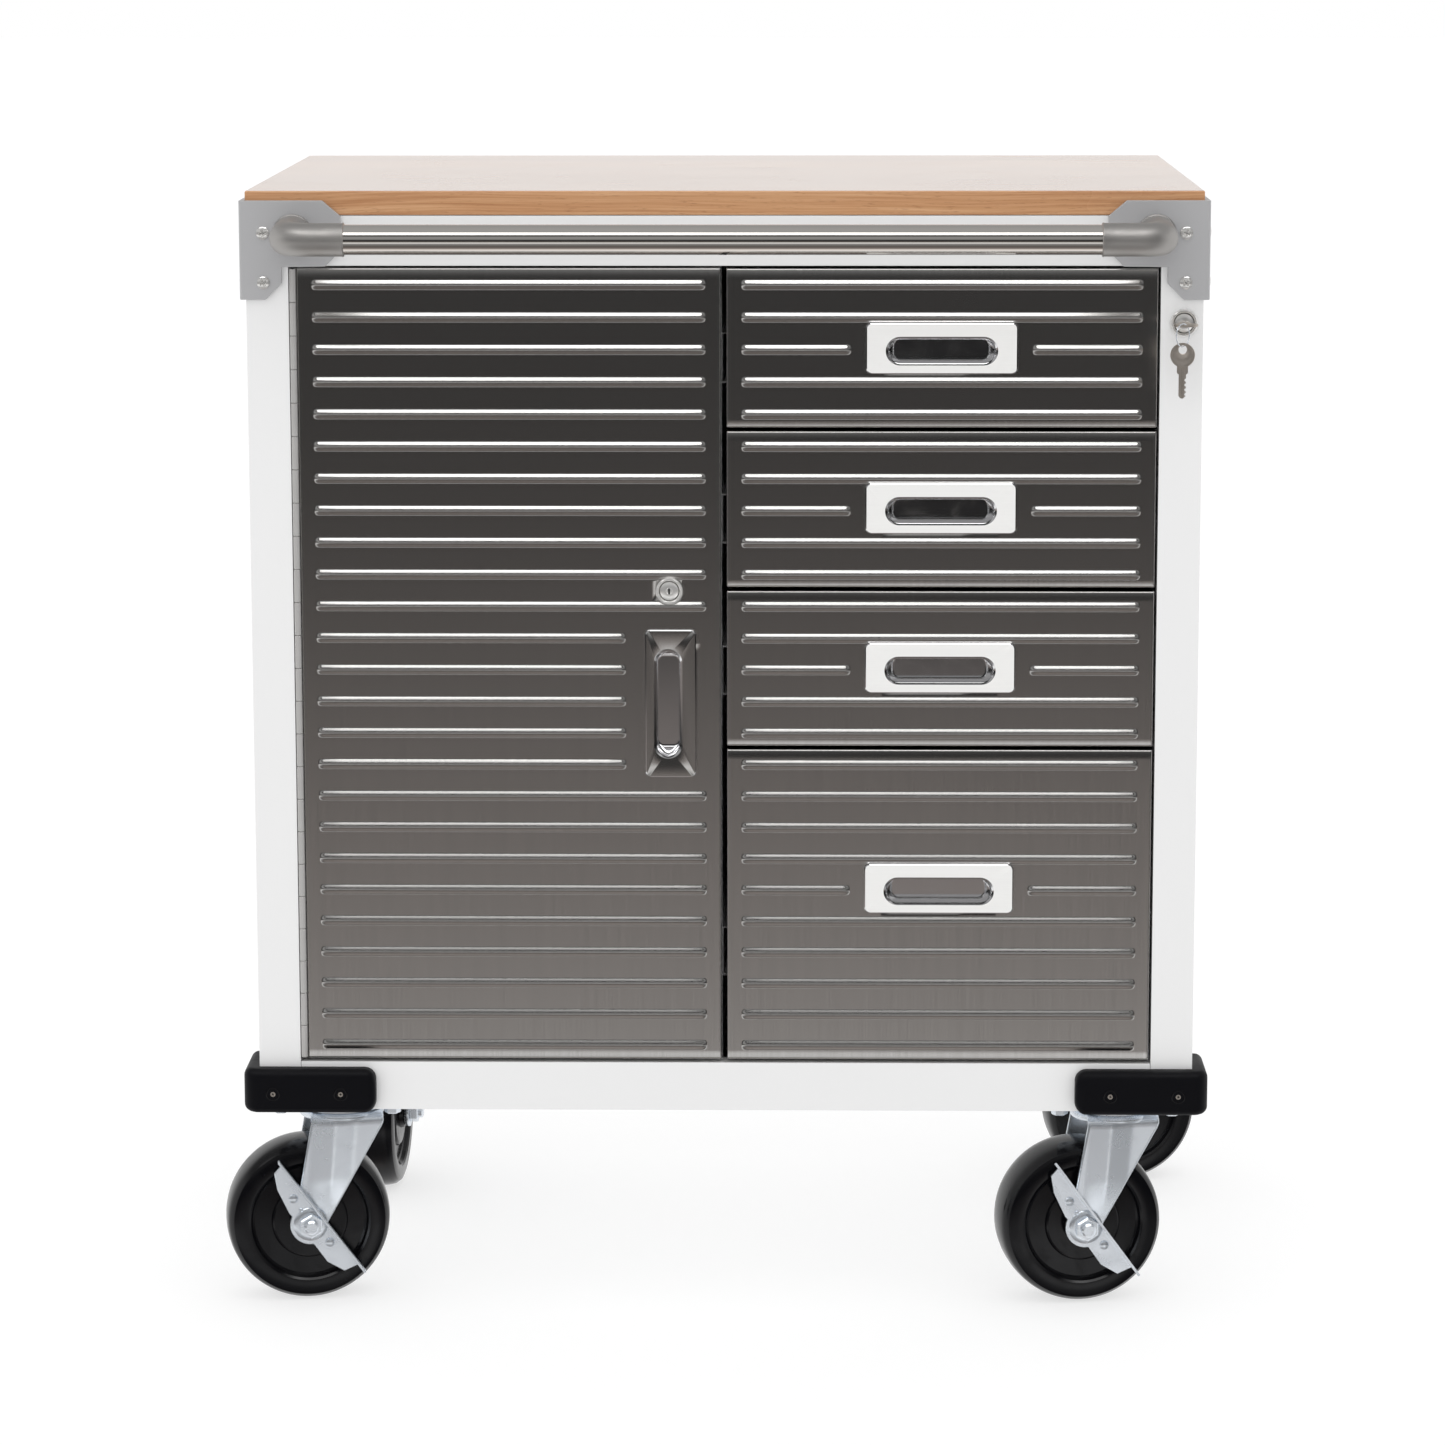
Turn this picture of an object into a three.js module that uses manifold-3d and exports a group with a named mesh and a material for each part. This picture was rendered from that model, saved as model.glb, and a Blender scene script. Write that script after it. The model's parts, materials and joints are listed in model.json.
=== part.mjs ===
// Rolling tool chest: a steel cabinet on four swivel casters, with a wooden worktop, a push bar,
// a tall door on the left and four drawers on the right.
// Millimetres, +Z up. The front faces -Y, and the floor is z = 0.
import * as THREE from 'three';
import { mergeVertices } from 'three/addons/utils/BufferGeometryUtils.js';
import Module from 'manifold-3d';

const wasm = await Module();
wasm.setup();

// ---- driving dimensions -------------------------------------------------------------------
const WIDTH = 711;
const DEPTH = 457;
const HEIGHT = 863;
const TOP_THICKNESS = 18;
const BODY_BOTTOM = 162.6;
const STILE = 31.6;
const BOTTOM_RAIL = 37.4;
const TOP_RAIL = 37.2;
const SHEET = 1.2;
const GAP = 0.3;
const FRONT_DEPTH = 18;

const DOOR = { left: -317.9, right: -2.8, bottom: 202.7, top: 805.9 };
const DRAWER_LEFT = 1.7;
const DRAWER_RIGHT = 322;
const DRAWERS = [
  { bottom: 686.8, top: 805.5, rail: 736, handle: 746.2, boxHeight: 87 },
  { bottom: 566.5, top: 684.2, rail: 614, handle: 626.3, boxHeight: 87 },
  { bottom: 445.5, top: 563.7, rail: 498, handle: 505.5, boxHeight: 87 },
  { bottom: 202.7, top: 442.9, rail: 280, handle: 336.2, boxHeight: 208 },
];

const BEAD = { top: 793.4, pitch: 24.15, count: 25, height: 7.4, proud: 2.4, margin: 11 };
const HANDLE = { length: 112.7, height: 38.2, corner: 4.3, plate: 2.1, drop: 1.9 };
const FINGER_CUT = { length: 82.5, height: 20.4, depth: 14.5 };
const DOOR_HANDLE = { x: -40.5, z: 478 };
const DOOR_LOCK = { x: -41.4, z: 563.7 };
const DRAWER_LOCK = { x: 341.2, z: 765.1 };
const LOCK = { bezel: 10.3, proud: 3, barrel: 9, plug: 7 };

const BAR = { radius: 11, standoff: 60, z: 831.3, elbowX: 319.8, elbowEnd: 276, bend: 30 };
const ELBOW_RADIUS = 12.25;
const BRACKET = 4;
const BUMPER = { thickness: 11.5, height: 34.4, frontLeg: 101, sideLeg: 68, corner: 10 };

const SLIDE = { left: -2.2, right: 324.8, front: 31, height: 38, width: 12.7, length: 380, reach: 10 };
const UPRIGHT = { setback: [60, 340], width: 30 };
const FLANGE = { setback: 20.5, width: 19.8 };
const SHELF = { z: 500, setback: 45, lip: 20 };
const LOCK_TRAVEL = 8;

const WHEEL = { radius: 63.5, width: 48 };
const PIVOT_X = 299.5;
const PIVOT_INSET = 62;
const TRAIL = 27.5;

// The bounding box is centred on the origin: the elbows reach furthest forward, and the rear
// bumpers furthest back.
const FORWARD_REACH = BAR.standoff + ELBOW_RADIUS;
const REAR_REACH = DEPTH + GAP + BUMPER.thickness;
const FRONT = (FORWARD_REACH - REAR_REACH) / 2;
const BACK = FRONT + DEPTH;
const HALF = WIDTH / 2;
const BODY_TOP = HEIGHT - TOP_THICKNESS - GAP;
const RIGHT_ANGLE = Math.PI / 2;

// ---- materials ----------------------------------------------------------------------------
const finish = (color, roughness, metalness) =>
  new THREE.MeshStandardMaterial({ color, roughness, metalness });
const WHITE_PAINT = finish(0xe6e6e6, 0.4, 0);
const STAINLESS = finish(0x8a847e, 0.35, 1);
const ZINC = finish(0xc4ccd2, 0.35, 1);
const CHROME = finish(0xe8e8e8, 0.08, 1);
const PEWTER = finish(0x918e8a, 0.45, 0.9);
const BRACKET_SILVER = finish(0xb9b9bb, 0.5, 0.7);
const BEECH = finish(0xcd9664, 0.35, 0);
const BLACK_RUBBER = finish(0x16171a, 0.6, 0);
const BLACK_WHEEL = finish(0x111214, 0.2, 0);
const KEY_NICKEL = finish(0x8a7f72, 0.4, 1);
const HINGE_STEEL = finish(0x9a9592, 0.35, 1);

// ---- solids -------------------------------------------------------------------------------
function toSolid(geometry) {
  const bare = geometry.clone();
  bare.deleteAttribute('normal');
  bare.deleteAttribute('uv');
  const merged = mergeVertices(bare, 1e-4);
  return new wasm.Manifold(new wasm.Mesh({
    numProp: 3,
    vertProperties: new Float32Array(merged.attributes.position.array),
    triVerts: new Uint32Array(merged.index.array),
  }));
}

function toGeometry(solid) {
  const mesh = solid.getMesh();
  const geometry = new THREE.BufferGeometry();
  geometry.setAttribute('position', new THREE.BufferAttribute(mesh.vertProperties, 3));
  geometry.setIndex(new THREE.BufferAttribute(mesh.triVerts, 1));
  geometry.computeVertexNormals();
  return geometry;
}

const join = (first, ...others) =>
  toGeometry(others.reduce((sum, other) => sum.add(toSolid(other)), toSolid(first)));
const cut = (first, ...others) =>
  toGeometry(others.reduce((rest, other) => rest.subtract(toSolid(other)), toSolid(first)));
const common = (first, second) => toGeometry(toSolid(first).intersect(toSolid(second)));

// A box between two corners.
function block(x0, x1, y0, y1, z0, z1) {
  const geometry = new THREE.BoxGeometry(x1 - x0, y1 - y0, z1 - z0);
  return geometry.translate((x0 + x1) / 2, (y0 + y1) / 2, (z0 + z1) / 2);
}

const solidExtrude = (shape, depth, curveSegments = 5) =>
  new THREE.ExtrudeGeometry(shape, { depth, bevelEnabled: false, curveSegments });

// A plan outline (x, y) raised from z0 to z1.
const extrudeUp = (shape, z0, z1, segments) =>
  solidExtrude(shape, z1 - z0, segments).translate(0, 0, z0);

// A front outline (x, z) carried from yBack forward to yFront.
function extrudeForward(shape, yFront, yBack, segments) {
  const geometry = solidExtrude(shape, yBack - yFront, segments);
  return geometry.rotateX(RIGHT_ANGLE).translate(0, yBack, 0);
}

// A side outline (y, z) carried from x0 to x1.
function extrudeAcross(shape, x0, x1, segments) {
  const turn = new THREE.Matrix4().makeBasis(
    new THREE.Vector3(0, 1, 0), new THREE.Vector3(0, 0, 1), new THREE.Vector3(1, 0, 0));
  return solidExtrude(shape, x1 - x0, segments).applyMatrix4(turn).translate(x0, 0, 0);
}

const polygon = (points) => new THREE.Shape(points.map(([a, b]) => new THREE.Vector2(a, b)));

// A bent sheet seen end-on: the line through the points, thickened to its right-hand side
// with mitred corners (to its left for a negative thickness).
function bentSheet(points, thickness = SHEET) {
  const line = points.map(([a, b]) => new THREE.Vector2(a, b));
  const rightOf = (from, to) => {
    const run = to.clone().sub(from).normalize();
    return new THREE.Vector2(run.y, -run.x).multiplyScalar(thickness);
  };
  const inner = line.map((point, i) => {
    const before = i > 0 ? rightOf(line[i - 1], point) : null;
    const after = i < line.length - 1 ? rightOf(point, line[i + 1]) : null;
    if (!before) return point.clone().add(after);
    if (!after) return point.clone().add(before);
    return point.clone().add(before).add(after);
  });
  return new THREE.Shape([...line, ...inner.reverse()]);
}

function roundedRectangle(width, height, radius, cx = 0, cz = 0) {
  const shape = new THREE.Shape();
  const x = width / 2 - radius;
  const z = height / 2 - radius;
  shape.absarc(cx + x, cz + z, radius, 0, RIGHT_ANGLE);
  shape.absarc(cx - x, cz + z, radius, RIGHT_ANGLE, 2 * RIGHT_ANGLE);
  shape.absarc(cx - x, cz - z, radius, 2 * RIGHT_ANGLE, 3 * RIGHT_ANGLE);
  shape.absarc(cx + x, cz - z, radius, 3 * RIGHT_ANGLE, 4 * RIGHT_ANGLE);
  shape.closePath();
  return shape;
}

const stadium = (length, height, cx, cz) =>
  roundedRectangle(length, height, height / 2 - 0.01, cx, cz);

// A round bar along Y, and one along Z.
const barAlongY = (radius, y0, y1, x, z, sides = 16) =>
  new THREE.CylinderGeometry(radius, radius, y1 - y0, sides).translate(x, (y0 + y1) / 2, z);
const barAlongZ = (radius, z0, z1, x, y, sides = 16) =>
  new THREE.CylinderGeometry(radius, radius, z1 - z0, sides)
    .rotateX(RIGHT_ANGLE).translate(x, y, (z0 + z1) / 2);

// A turned part about the Y axis: its profile is (radius, y).
function turned(profile, sides) {
  return new THREE.LatheGeometry(profile.map(([r, y]) => new THREE.Vector2(r, y)), sides);
}

const chest = new THREE.Group();
const add = (name, geometry, material, parent = chest) => {
  const mesh = new THREE.Mesh(geometry, material);
  mesh.name = name;
  parent.add(mesh);
  return mesh;
};

// ---- cabinet body -------------------------------------------------------------------------
// Each side is one bent sheet: front stile with its return, wall, and rear flange.
const REAR_FLANGE = 15;
function sidePanel(side) {
  const plan = bentSheet([
    [side * (HALF - STILE), FRONT + FRONT_DEPTH],
    [side * (HALF - STILE), FRONT],
    [side * HALF, FRONT],
    [side * HALF, BACK],
    [side * (HALF - REAR_FLANGE), BACK],
  ], side < 0 ? SHEET : -SHEET);
  return extrudeUp(plan, BODY_BOTTOM, BODY_TOP);
}
const INNER = HALF - SHEET - GAP;
const RAIL_END = HALF - STILE - GAP;
const lockHole = (lock) =>
  barAlongY(LOCK.barrel + 2 * GAP, FRONT - 5, FRONT + 30, lock.x, lock.z, 20);
add('side_left', sidePanel(-1), WHITE_PAINT);
add('side_right', cut(sidePanel(1), lockHole(DRAWER_LOCK)), WHITE_PAINT);

// The back sheet lies in front of the two rear flanges.
const BACK_FACE = BACK - SHEET - GAP;
const FLOOR_TOP = BODY_BOTTOM + SHEET;
const CEILING = BODY_TOP - SHEET;
add('back_panel', block(-INNER, INNER, BACK_FACE - SHEET, BACK_FACE,
  FLOOR_TOP + GAP, CEILING - GAP), WHITE_PAINT);

// The bottom pan: a flat floor that the casters bolt to, and the bottom rail with its lip.
const railSheet = bentSheet([
  [FRONT + FRONT_DEPTH, BODY_BOTTOM + BOTTOM_RAIL],
  [FRONT, BODY_BOTTOM + BOTTOM_RAIL],
  [FRONT, BODY_BOTTOM],
  [FRONT + FRONT_DEPTH + 1, BODY_BOTTOM],
], -SHEET);
add('bottom_pan', join(
  extrudeAcross(railSheet, -RAIL_END, RAIL_END),
  block(-INNER, INNER, FRONT + FRONT_DEPTH + GAP, BACK_FACE, BODY_BOTTOM, FLOOR_TOP)),
WHITE_PAINT);

// The top pan: the top rail with its lip, and the sheet under the worktop.
add('top_pan', extrudeAcross(bentSheet([
  [FRONT + FRONT_DEPTH, BODY_TOP - TOP_RAIL],
  [FRONT, BODY_TOP - TOP_RAIL],
  [FRONT, BODY_TOP],
  [BACK_FACE, BODY_TOP],
], SHEET), -RAIL_END, RAIL_END), WHITE_PAINT);

add('worktop', block(-HALF, HALF, FRONT, BACK, HEIGHT - TOP_THICKNESS, HEIGHT), BEECH);

// ---- drawer slides ------------------------------------------------------------------------
// The fixed member is a channel that opens towards the drawer; the drawer's member runs in it.
const SLIDE_FRONT = FRONT + SLIDE.front;
function fixedRail(side, rail) {
  const root = side < 0 ? SLIDE.left : SLIDE.right;
  const tip = root - side * SLIDE.reach;
  const half = SLIDE.height / 2;
  const channel = bentSheet([
    [tip, rail + half], [root, rail + half], [root, rail - half], [tip, rail - half],
  ], side < 0 ? -SHEET : SHEET);
  return extrudeForward(channel, SLIDE_FRONT, SLIDE_FRONT + SLIDE.length);
}
function movingRail(side, rail) {
  const root = side < 0 ? SLIDE.left + SLIDE.width : SLIDE.right - SLIDE.width;
  const tip = root + side * (SLIDE.reach - 1);
  const half = SLIDE.height / 2 - 4.5;
  const channel = bentSheet([
    [tip, rail + half], [root, rail + half], [root, rail - half], [tip, rail - half],
  ], side < 0 ? SHEET : -SHEET);
  return extrudeForward(channel, SLIDE_FRONT, SLIDE_FRONT + SLIDE.length);
}

// The divider carries the left slides; its front flange is the door's stop and strike.
const FLANGE_FRONT = FRONT + FLANGE.setback;
const dividerSheet = extrudeUp(bentSheet([
  [SLIDE.left - FLANGE.width, FLANGE_FRONT], [SLIDE.left, FLANGE_FRONT],
  [SLIDE.left, BACK_FACE - SHEET - GAP],
], -SHEET), FLOOR_TOP + GAP, CEILING - GAP);
const embed = (geometry, distance) => geometry.translate(distance, 0, 0);
add('divider', join(dividerSheet,
  ...DRAWERS.map(({ rail }) => embed(fixedRail(-1, rail), -0.5))), WHITE_PAINT);

// The right slides hang on two uprights beside the right wall.
function slidePost(setback) {
  const [y0, y1] = [FRONT + setback, FRONT + setback + UPRIGHT.width];
  const foot = SLIDE.right - 0.5;
  return extrudeUp(bentSheet([[INNER - GAP, y0], [foot, y0], [foot, y1], [INNER - GAP, y1]]),
    FLOOR_TOP + GAP, CEILING - GAP);
}
add('slide_frame_right', join(...UPRIGHT.setback.map(slidePost),
  ...DRAWERS.map(({ rail }) => fixedRail(1, rail))), ZINC);

// ---- shelf in the door compartment --------------------------------------------------------
const shelfFront = FRONT + SHELF.setback;
const shelfBack = BACK - 8;
add('shelf', extrudeAcross(bentSheet([
  [shelfFront, SHELF.z - SHELF.lip], [shelfFront, SHELF.z],
  [shelfBack, SHELF.z], [shelfBack, SHELF.z - SHELF.lip],
]), -INNER + GAP, SLIDE.left - SHEET - 2 * GAP), WHITE_PAINT);

// ---- beads pressed into the door and the drawer fronts ------------------------------------
// A bead is a long low roof with sloping ends; its foot is sunk into the sheet.
function bead(x0, x1, z) {
  const half = BEAD.height / 2;
  const foot = FRONT + SHEET / 2;
  const crest = FRONT - BEAD.proud;
  const points = [
    [x0, foot, z - half], [x1, foot, z - half], [x1, foot, z + half], [x0, foot, z + half],
    [x0 + half, crest, z], [x1 - half, crest, z],
  ];
  const faces = [0, 1, 5, 0, 5, 4, 1, 2, 5, 2, 3, 4, 2, 4, 5, 3, 0, 4, 0, 2, 1, 0, 3, 2];
  const geometry = new THREE.BufferGeometry();
  geometry.setAttribute('position', new THREE.Float32BufferAttribute(points.flat(), 3));
  geometry.setIndex(faces);
  return geometry;
}
const beadHeights = Array.from({ length: BEAD.count }, (_, i) => BEAD.top - BEAD.pitch * i);
const within = (z, bottom, top) => z > bottom && z < top;

// An open pan: a face with four folded edges.
function pan(x0, x1, z0, z1) {
  return cut(
    block(x0, x1, FRONT, FRONT + FRONT_DEPTH, z0, z1),
    block(x0 + SHEET, x1 - SHEET, FRONT + SHEET, FRONT + FRONT_DEPTH + 5, z0 + SHEET, z1 - SHEET));
}
function cupHole(x, z, upright) {
  const length = FINGER_CUT.length + 6;
  const height = FINGER_CUT.height + 6;
  const [across, up] = upright ? [height, length] : [length, height];
  const outline = roundedRectangle(across, up, height / 2 - 0.01, x, z);
  return extrudeForward(outline, FRONT - 5, FRONT + 5, 3);
}

// ---- door ---------------------------------------------------------------------------------
const HANDLE_CLEAR = HANDLE.length / 2 + 11;
const SHORT_BEAD_END = DOOR_HANDLE.x - HANDLE.height / 2 - 14.7;
const doorHandleSpan = [DOOR_HANDLE.z - HANDLE.length / 2, DOOR_HANDLE.z + HANDLE.length / 2];
const doorBeads = beadHeights.map((z) => {
  const beside = within(z, doorHandleSpan[0] - BEAD.height / 2, doorHandleSpan[1]);
  return bead(DOOR.left + BEAD.margin, beside ? SHORT_BEAD_END : DOOR.right - BEAD.margin, z);
});
add('door_skin', cut(
  join(pan(DOOR.left, DOOR.right, DOOR.bottom, DOOR.top), ...doorBeads),
  lockHole(DOOR_LOCK), cupHole(DOOR_HANDLE.x - HANDLE.drop, DOOR_HANDLE.z, true),
  barAlongY(LOCK.bezel + 2 * GAP, FRONT - 5, FRONT, DOOR_LOCK.x, DOOR_LOCK.z, 20)), STAINLESS);

const LINER_FRONT = FRONT + FRONT_DEPTH + GAP;
add('door_liner', cut(
  block(DOOR.left + 1, DOOR.right - 1, LINER_FRONT, LINER_FRONT + SHEET,
    DOOR.bottom + 1, DOOR.top - 1),
  lockHole(DOOR_LOCK)), WHITE_PAINT);

// ---- piano hinge --------------------------------------------------------------------------
const HINGE = { x: -321, y: FRONT + 1, barrel: 2.5, pin: 0.9, knuckles: 24, leaf: 0.8 };
const HINGE_BOTTOM = DOOR.bottom + 0.5;
const KNUCKLE = (DOOR.top - DOOR.bottom - 1) / HINGE.knuckles;
// A leaf lies 1.9 mm to one side of the pin, and only its own knuckles reach the barrel.
function hingeLeaf(side, firstKnuckle, reach) {
  const inner = HINGE.x + side * 1.9;
  const outer = inner + side * HINGE.leaf;
  const [x0, x1] = [Math.min(inner, outer), Math.max(inner, outer)];
  const strip = block(x0, x1, HINGE.y + 2.1, HINGE.y + reach,
    HINGE_BOTTOM, DOOR.top - 0.5);
  const knuckles = [];
  for (let i = firstKnuckle; i < HINGE.knuckles; i += 2) {
    const z0 = HINGE_BOTTOM + i * KNUCKLE + 0.2;
    const z1 = z0 + KNUCKLE - 0.4;
    knuckles.push(barAlongZ(HINGE.barrel, z0, z1, HINGE.x, HINGE.y, 8));
    knuckles.push(block(x0, x1, HINGE.y, HINGE.y + 2.6, z0, z1));
  }
  return join(strip, ...knuckles);
}
const pinBar = (radius, overrun) => barAlongZ(radius, HINGE_BOTTOM + 1 - overrun,
  DOOR.top - 1.5 + overrun, HINGE.x, HINGE.y, 6);
add('hinge_leaf_frame', join(hingeLeaf(-1, 0, 16), pinBar(HINGE.pin, 0)), HINGE_STEEL);
add('hinge_leaf_door', cut(hingeLeaf(1, 1, 15), pinBar(HINGE.pin + GAP, 4)), HINGE_STEEL);

// ---- pull handles -------------------------------------------------------------------------
// One pressed part: a face plate with a finger slot and the tub behind it. It is drawn about
// the middle of its plate, with y = 0 on the panel's face.
function pullHandle() {
  const { length, height, depth } = FINGER_CUT;
  const face = extrudeForward(roundedRectangle(HANDLE.length, HANDLE.height, HANDLE.corner),
    -GAP - HANDLE.plate, -GAP, 2);
  const tub = extrudeForward(stadium(length + 2 * SHEET, height + 2 * SHEET, 0, -HANDLE.drop),
    -GAP - 1, depth, 3);
  const slot = extrudeForward(stadium(length, height, 0, -HANDLE.drop), -5, depth - SHEET, 3);
  return cut(join(face, tub), slot);
}
const handleShape = pullHandle();
const doorHandle = add('door_handle', handleShape.clone(), CHROME);
doorHandle.position.set(DOOR_HANDLE.x, FRONT, DOOR_HANDLE.z);
doorHandle.rotation.y = RIGHT_ANGLE;

// ---- drawers ------------------------------------------------------------------------------
const DRAWER_MIDDLE = (DRAWER_LEFT + DRAWER_RIGHT) / 2;
const BOX_LEFT = SLIDE.left + SLIDE.width;
const BOX_RIGHT = SLIDE.right - SLIDE.width;
const BOX_FRONT = FRONT + FRONT_DEPTH + GAP;
const BOX_LENGTH = 400;
const BOX_SILL = 14;
const ROD = { front: FRONT + 25, back: FRONT + 28, tabBottom: 25, tabTop: 33 };

DRAWERS.forEach((drawer, index) => {
  const name = `drawer_${index + 1}`;
  const beads = beadHeights.filter((z) => within(z, drawer.bottom, drawer.top)).flatMap((z) => {
    const left = DRAWER_LEFT + BEAD.margin;
    const right = DRAWER_RIGHT - BEAD.margin;
    if (Math.abs(z - drawer.handle) > HANDLE.height / 2 - 4) return [bead(left, right, z)];
    return [bead(left, DRAWER_MIDDLE - HANDLE_CLEAR, z),
      bead(DRAWER_MIDDLE + HANDLE_CLEAR, right, z)];
  });
  add(`${name}_front`, cut(
    join(pan(DRAWER_LEFT, DRAWER_RIGHT, drawer.bottom, drawer.top), ...beads),
    cupHole(DRAWER_MIDDLE, drawer.handle - HANDLE.drop, false)), STAINLESS);

  const boxBottom = drawer.bottom + BOX_SILL;
  const boxTop = boxBottom + drawer.boxHeight;
  const tray = cut(
    block(BOX_LEFT, BOX_RIGHT, BOX_FRONT, BOX_FRONT + BOX_LENGTH, boxBottom, boxTop),
    block(BOX_LEFT + SHEET, BOX_RIGHT - SHEET, BOX_FRONT + SHEET,
      BOX_FRONT + BOX_LENGTH - SHEET, boxBottom + SHEET, boxTop + 5));
  const latchCatch = block(BOX_RIGHT - 0.5, BOX_RIGHT + 8.5, ROD.back + 2 * GAP, ROD.back + 5,
    drawer.rail + ROD.tabTop + 2 * GAP, drawer.rail + ROD.tabTop + LOCK_TRAVEL);
  add(`${name}_box`, join(tray, embed(movingRail(-1, drawer.rail), 0.5),
    embed(movingRail(1, drawer.rail), -0.5), latchCatch), WHITE_PAINT);

  const handle = add(`${name}_handle`, handleShape.clone(), CHROME);
  handle.position.set(DRAWER_MIDDLE, FRONT, drawer.handle);
});

// ---- locks --------------------------------------------------------------------------------
// The body is a domed bezel on a barrel with a bore; the plug turns in the bore.
const LOCK_BACK = 21.5;
const lockBody = () => turned([
  [LOCK.plug + GAP, -LOCK.proud], [LOCK.bezel - 2, -LOCK.proud], [LOCK.bezel, -1.2],
  [LOCK.bezel, -GAP], [LOCK.barrel, -GAP], [LOCK.barrel, LOCK_BACK],
  [LOCK.plug + GAP, LOCK_BACK], [LOCK.plug + GAP, -LOCK.proud],
], 16);
const lockPlug = (back) => barAlongY(LOCK.plug, -LOCK.proud + 0.5, back, 0, 0);
const CAM_THICKNESS = 1.8;

const doorLockBody = add('door_lock_body', lockBody(), CHROME);
doorLockBody.position.set(DOOR_LOCK.x, FRONT, DOOR_LOCK.z);
const DOOR_CAM = LOCK_BACK + 4;
const doorLockCam = add('door_lock_plug', join(lockPlug(DOOR_CAM + 1),
  block(-6, 6, DOOR_CAM, DOOR_CAM + CAM_THICKNESS, -28, 6)), ZINC);
doorLockCam.position.set(DOOR_LOCK.x, FRONT, DOOR_LOCK.z);

const drawerLockBody = add('drawer_lock_body', lockBody(), CHROME);
drawerLockBody.position.set(DRAWER_LOCK.x, FRONT, DRAWER_LOCK.z);

// ---- keys ---------------------------------------------------------------------------------
const KEY = { bow: 9.1, hole: 3.2, holeOffset: 4.1, thickness: 1.6, neck: 4.1, blade: 2.7 };
// The key's face: the bow about (0, 0), the blade running towards -b, the hole towards +b.
function keyOutline(length) {
  const start = -RIGHT_ANGLE + Math.asin(KEY.neck / KEY.bow);
  const shape = new THREE.Shape();
  shape.absarc(0, 0, KEY.bow, start, start + 2 * Math.PI - 2 * (start + RIGHT_ANGLE), false);
  shape.lineTo(-KEY.neck, -13.5);
  shape.lineTo(-KEY.blade, -14);
  shape.lineTo(-KEY.blade, 2 - length);
  shape.lineTo(-0.5, -length);
  shape.lineTo(0.8, -length);
  for (let notch = 0; notch < 3; notch += 1) {
    const at = 2 + notch * 4 - length;
    shape.lineTo(KEY.blade, at);
    shape.lineTo(KEY.blade, at + 1.6);
    shape.lineTo(KEY.blade - 1.1, at + 2.8);
  }
  shape.lineTo(KEY.blade, -14);
  shape.lineTo(KEY.neck, -13.5);
  shape.closePath();
  const hole = new THREE.Path();
  hole.absarc(0, KEY.holeOffset, KEY.hole, 0, 2 * Math.PI, true);
  shape.holes.push(hole);
  return shape;
}
const KEY_LENGTH = 32;
const flatKey = () => solidExtrude(keyOutline(KEY_LENGTH), KEY.thickness, 6)
  .translate(0, 0, -KEY.thickness / 2);

// The key in the lock lies flat: its bow stands 17.5 mm in front of the stile.
const BOW_FORWARD = 17.5;
const keyInLock = flatKey().rotateZ(Math.PI).translate(0, -BOW_FORWARD, 0);
const ROD_CAM = LOCK_BACK + 0.6;
const camArm = block(-4, 4, ROD_CAM, ROD_CAM + CAM_THICKNESS, -LOCK_TRAVEL - 4, 0);
const camPin = barAlongY(1.5, ROD_CAM + 1, ROD_CAM + 6.5, 0, -LOCK_TRAVEL, 10);
const drawerLockPlug = add('drawer_lock_plug',
  join(lockPlug(ROD_CAM + 0.5), keyInLock, camArm, camPin), KEY_NICKEL);
drawerLockPlug.position.set(DRAWER_LOCK.x, FRONT, DRAWER_LOCK.z);

// The ring hangs through the hole of that bow, turned 51.6 degrees from face-on.
const RING = { radius: 8.5, wire: 0.5, lead: 4.4, turn: THREE.MathUtils.degToRad(51.6) };
const ringX = DRAWER_LOCK.x - Math.cos(RING.turn) * RING.lead;
const ringY = FRONT - BOW_FORWARD - KEY.holeOffset - Math.sin(RING.turn) * RING.lead;
const ringZ = DRAWER_LOCK.z - 6.8;
const ring = add('key_ring', new THREE.TorusGeometry(RING.radius, RING.wire, 5, 18), ZINC);
ring.geometry.rotateX(RIGHT_ANGLE);
ring.geometry.rotateZ(RING.turn);
ring.position.set(ringX, ringY, ringZ);

// The spare key hangs from the ring, face to the front.
const spareZ = ringZ - RING.radius + RING.wire + 0.6 - KEY.hole - KEY.holeOffset;
const spare = add('spare_key', flatKey().rotateX(RIGHT_ANGLE), KEY_NICKEL);
spare.position.set(ringX, ringY, spareZ);

// ---- drawer lock rod ----------------------------------------------------------------------
// A flat bar behind the right stile. The cam pin lifts it by the fork at its top, and its four
// tabs then stand in front of the drawers' catches.
const rodX = [DRAWER_LOCK.x - 3, DRAWER_LOCK.x + 5];
const pinZ = DRAWER_LOCK.z - LOCK_TRAVEL;
const rodBar = block(rodX[0], rodX[1], ROD.front, ROD.back, DRAWERS[3].rail + 20, pinZ - 6);
const rodHead = block(DRAWER_LOCK.x - 8, DRAWER_LOCK.x + 12, ROD.front, ROD.back, pinZ - 9.5,
  pinZ + 7.5);
const rodFork = block(DRAWER_LOCK.x - 4, DRAWER_LOCK.x + 15, ROD.front - 2, ROD.back + 2,
  pinZ - 5.3, pinZ + 3.5);
const rodTabs = DRAWERS.map(({ rail }) => block(BOX_RIGHT + 5.5, rodX[0] + 1, ROD.front, ROD.back,
  rail + ROD.tabBottom, rail + ROD.tabTop));
add('lock_rod', cut(join(rodBar, rodHead, ...rodTabs), rodFork), ZINC);

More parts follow.
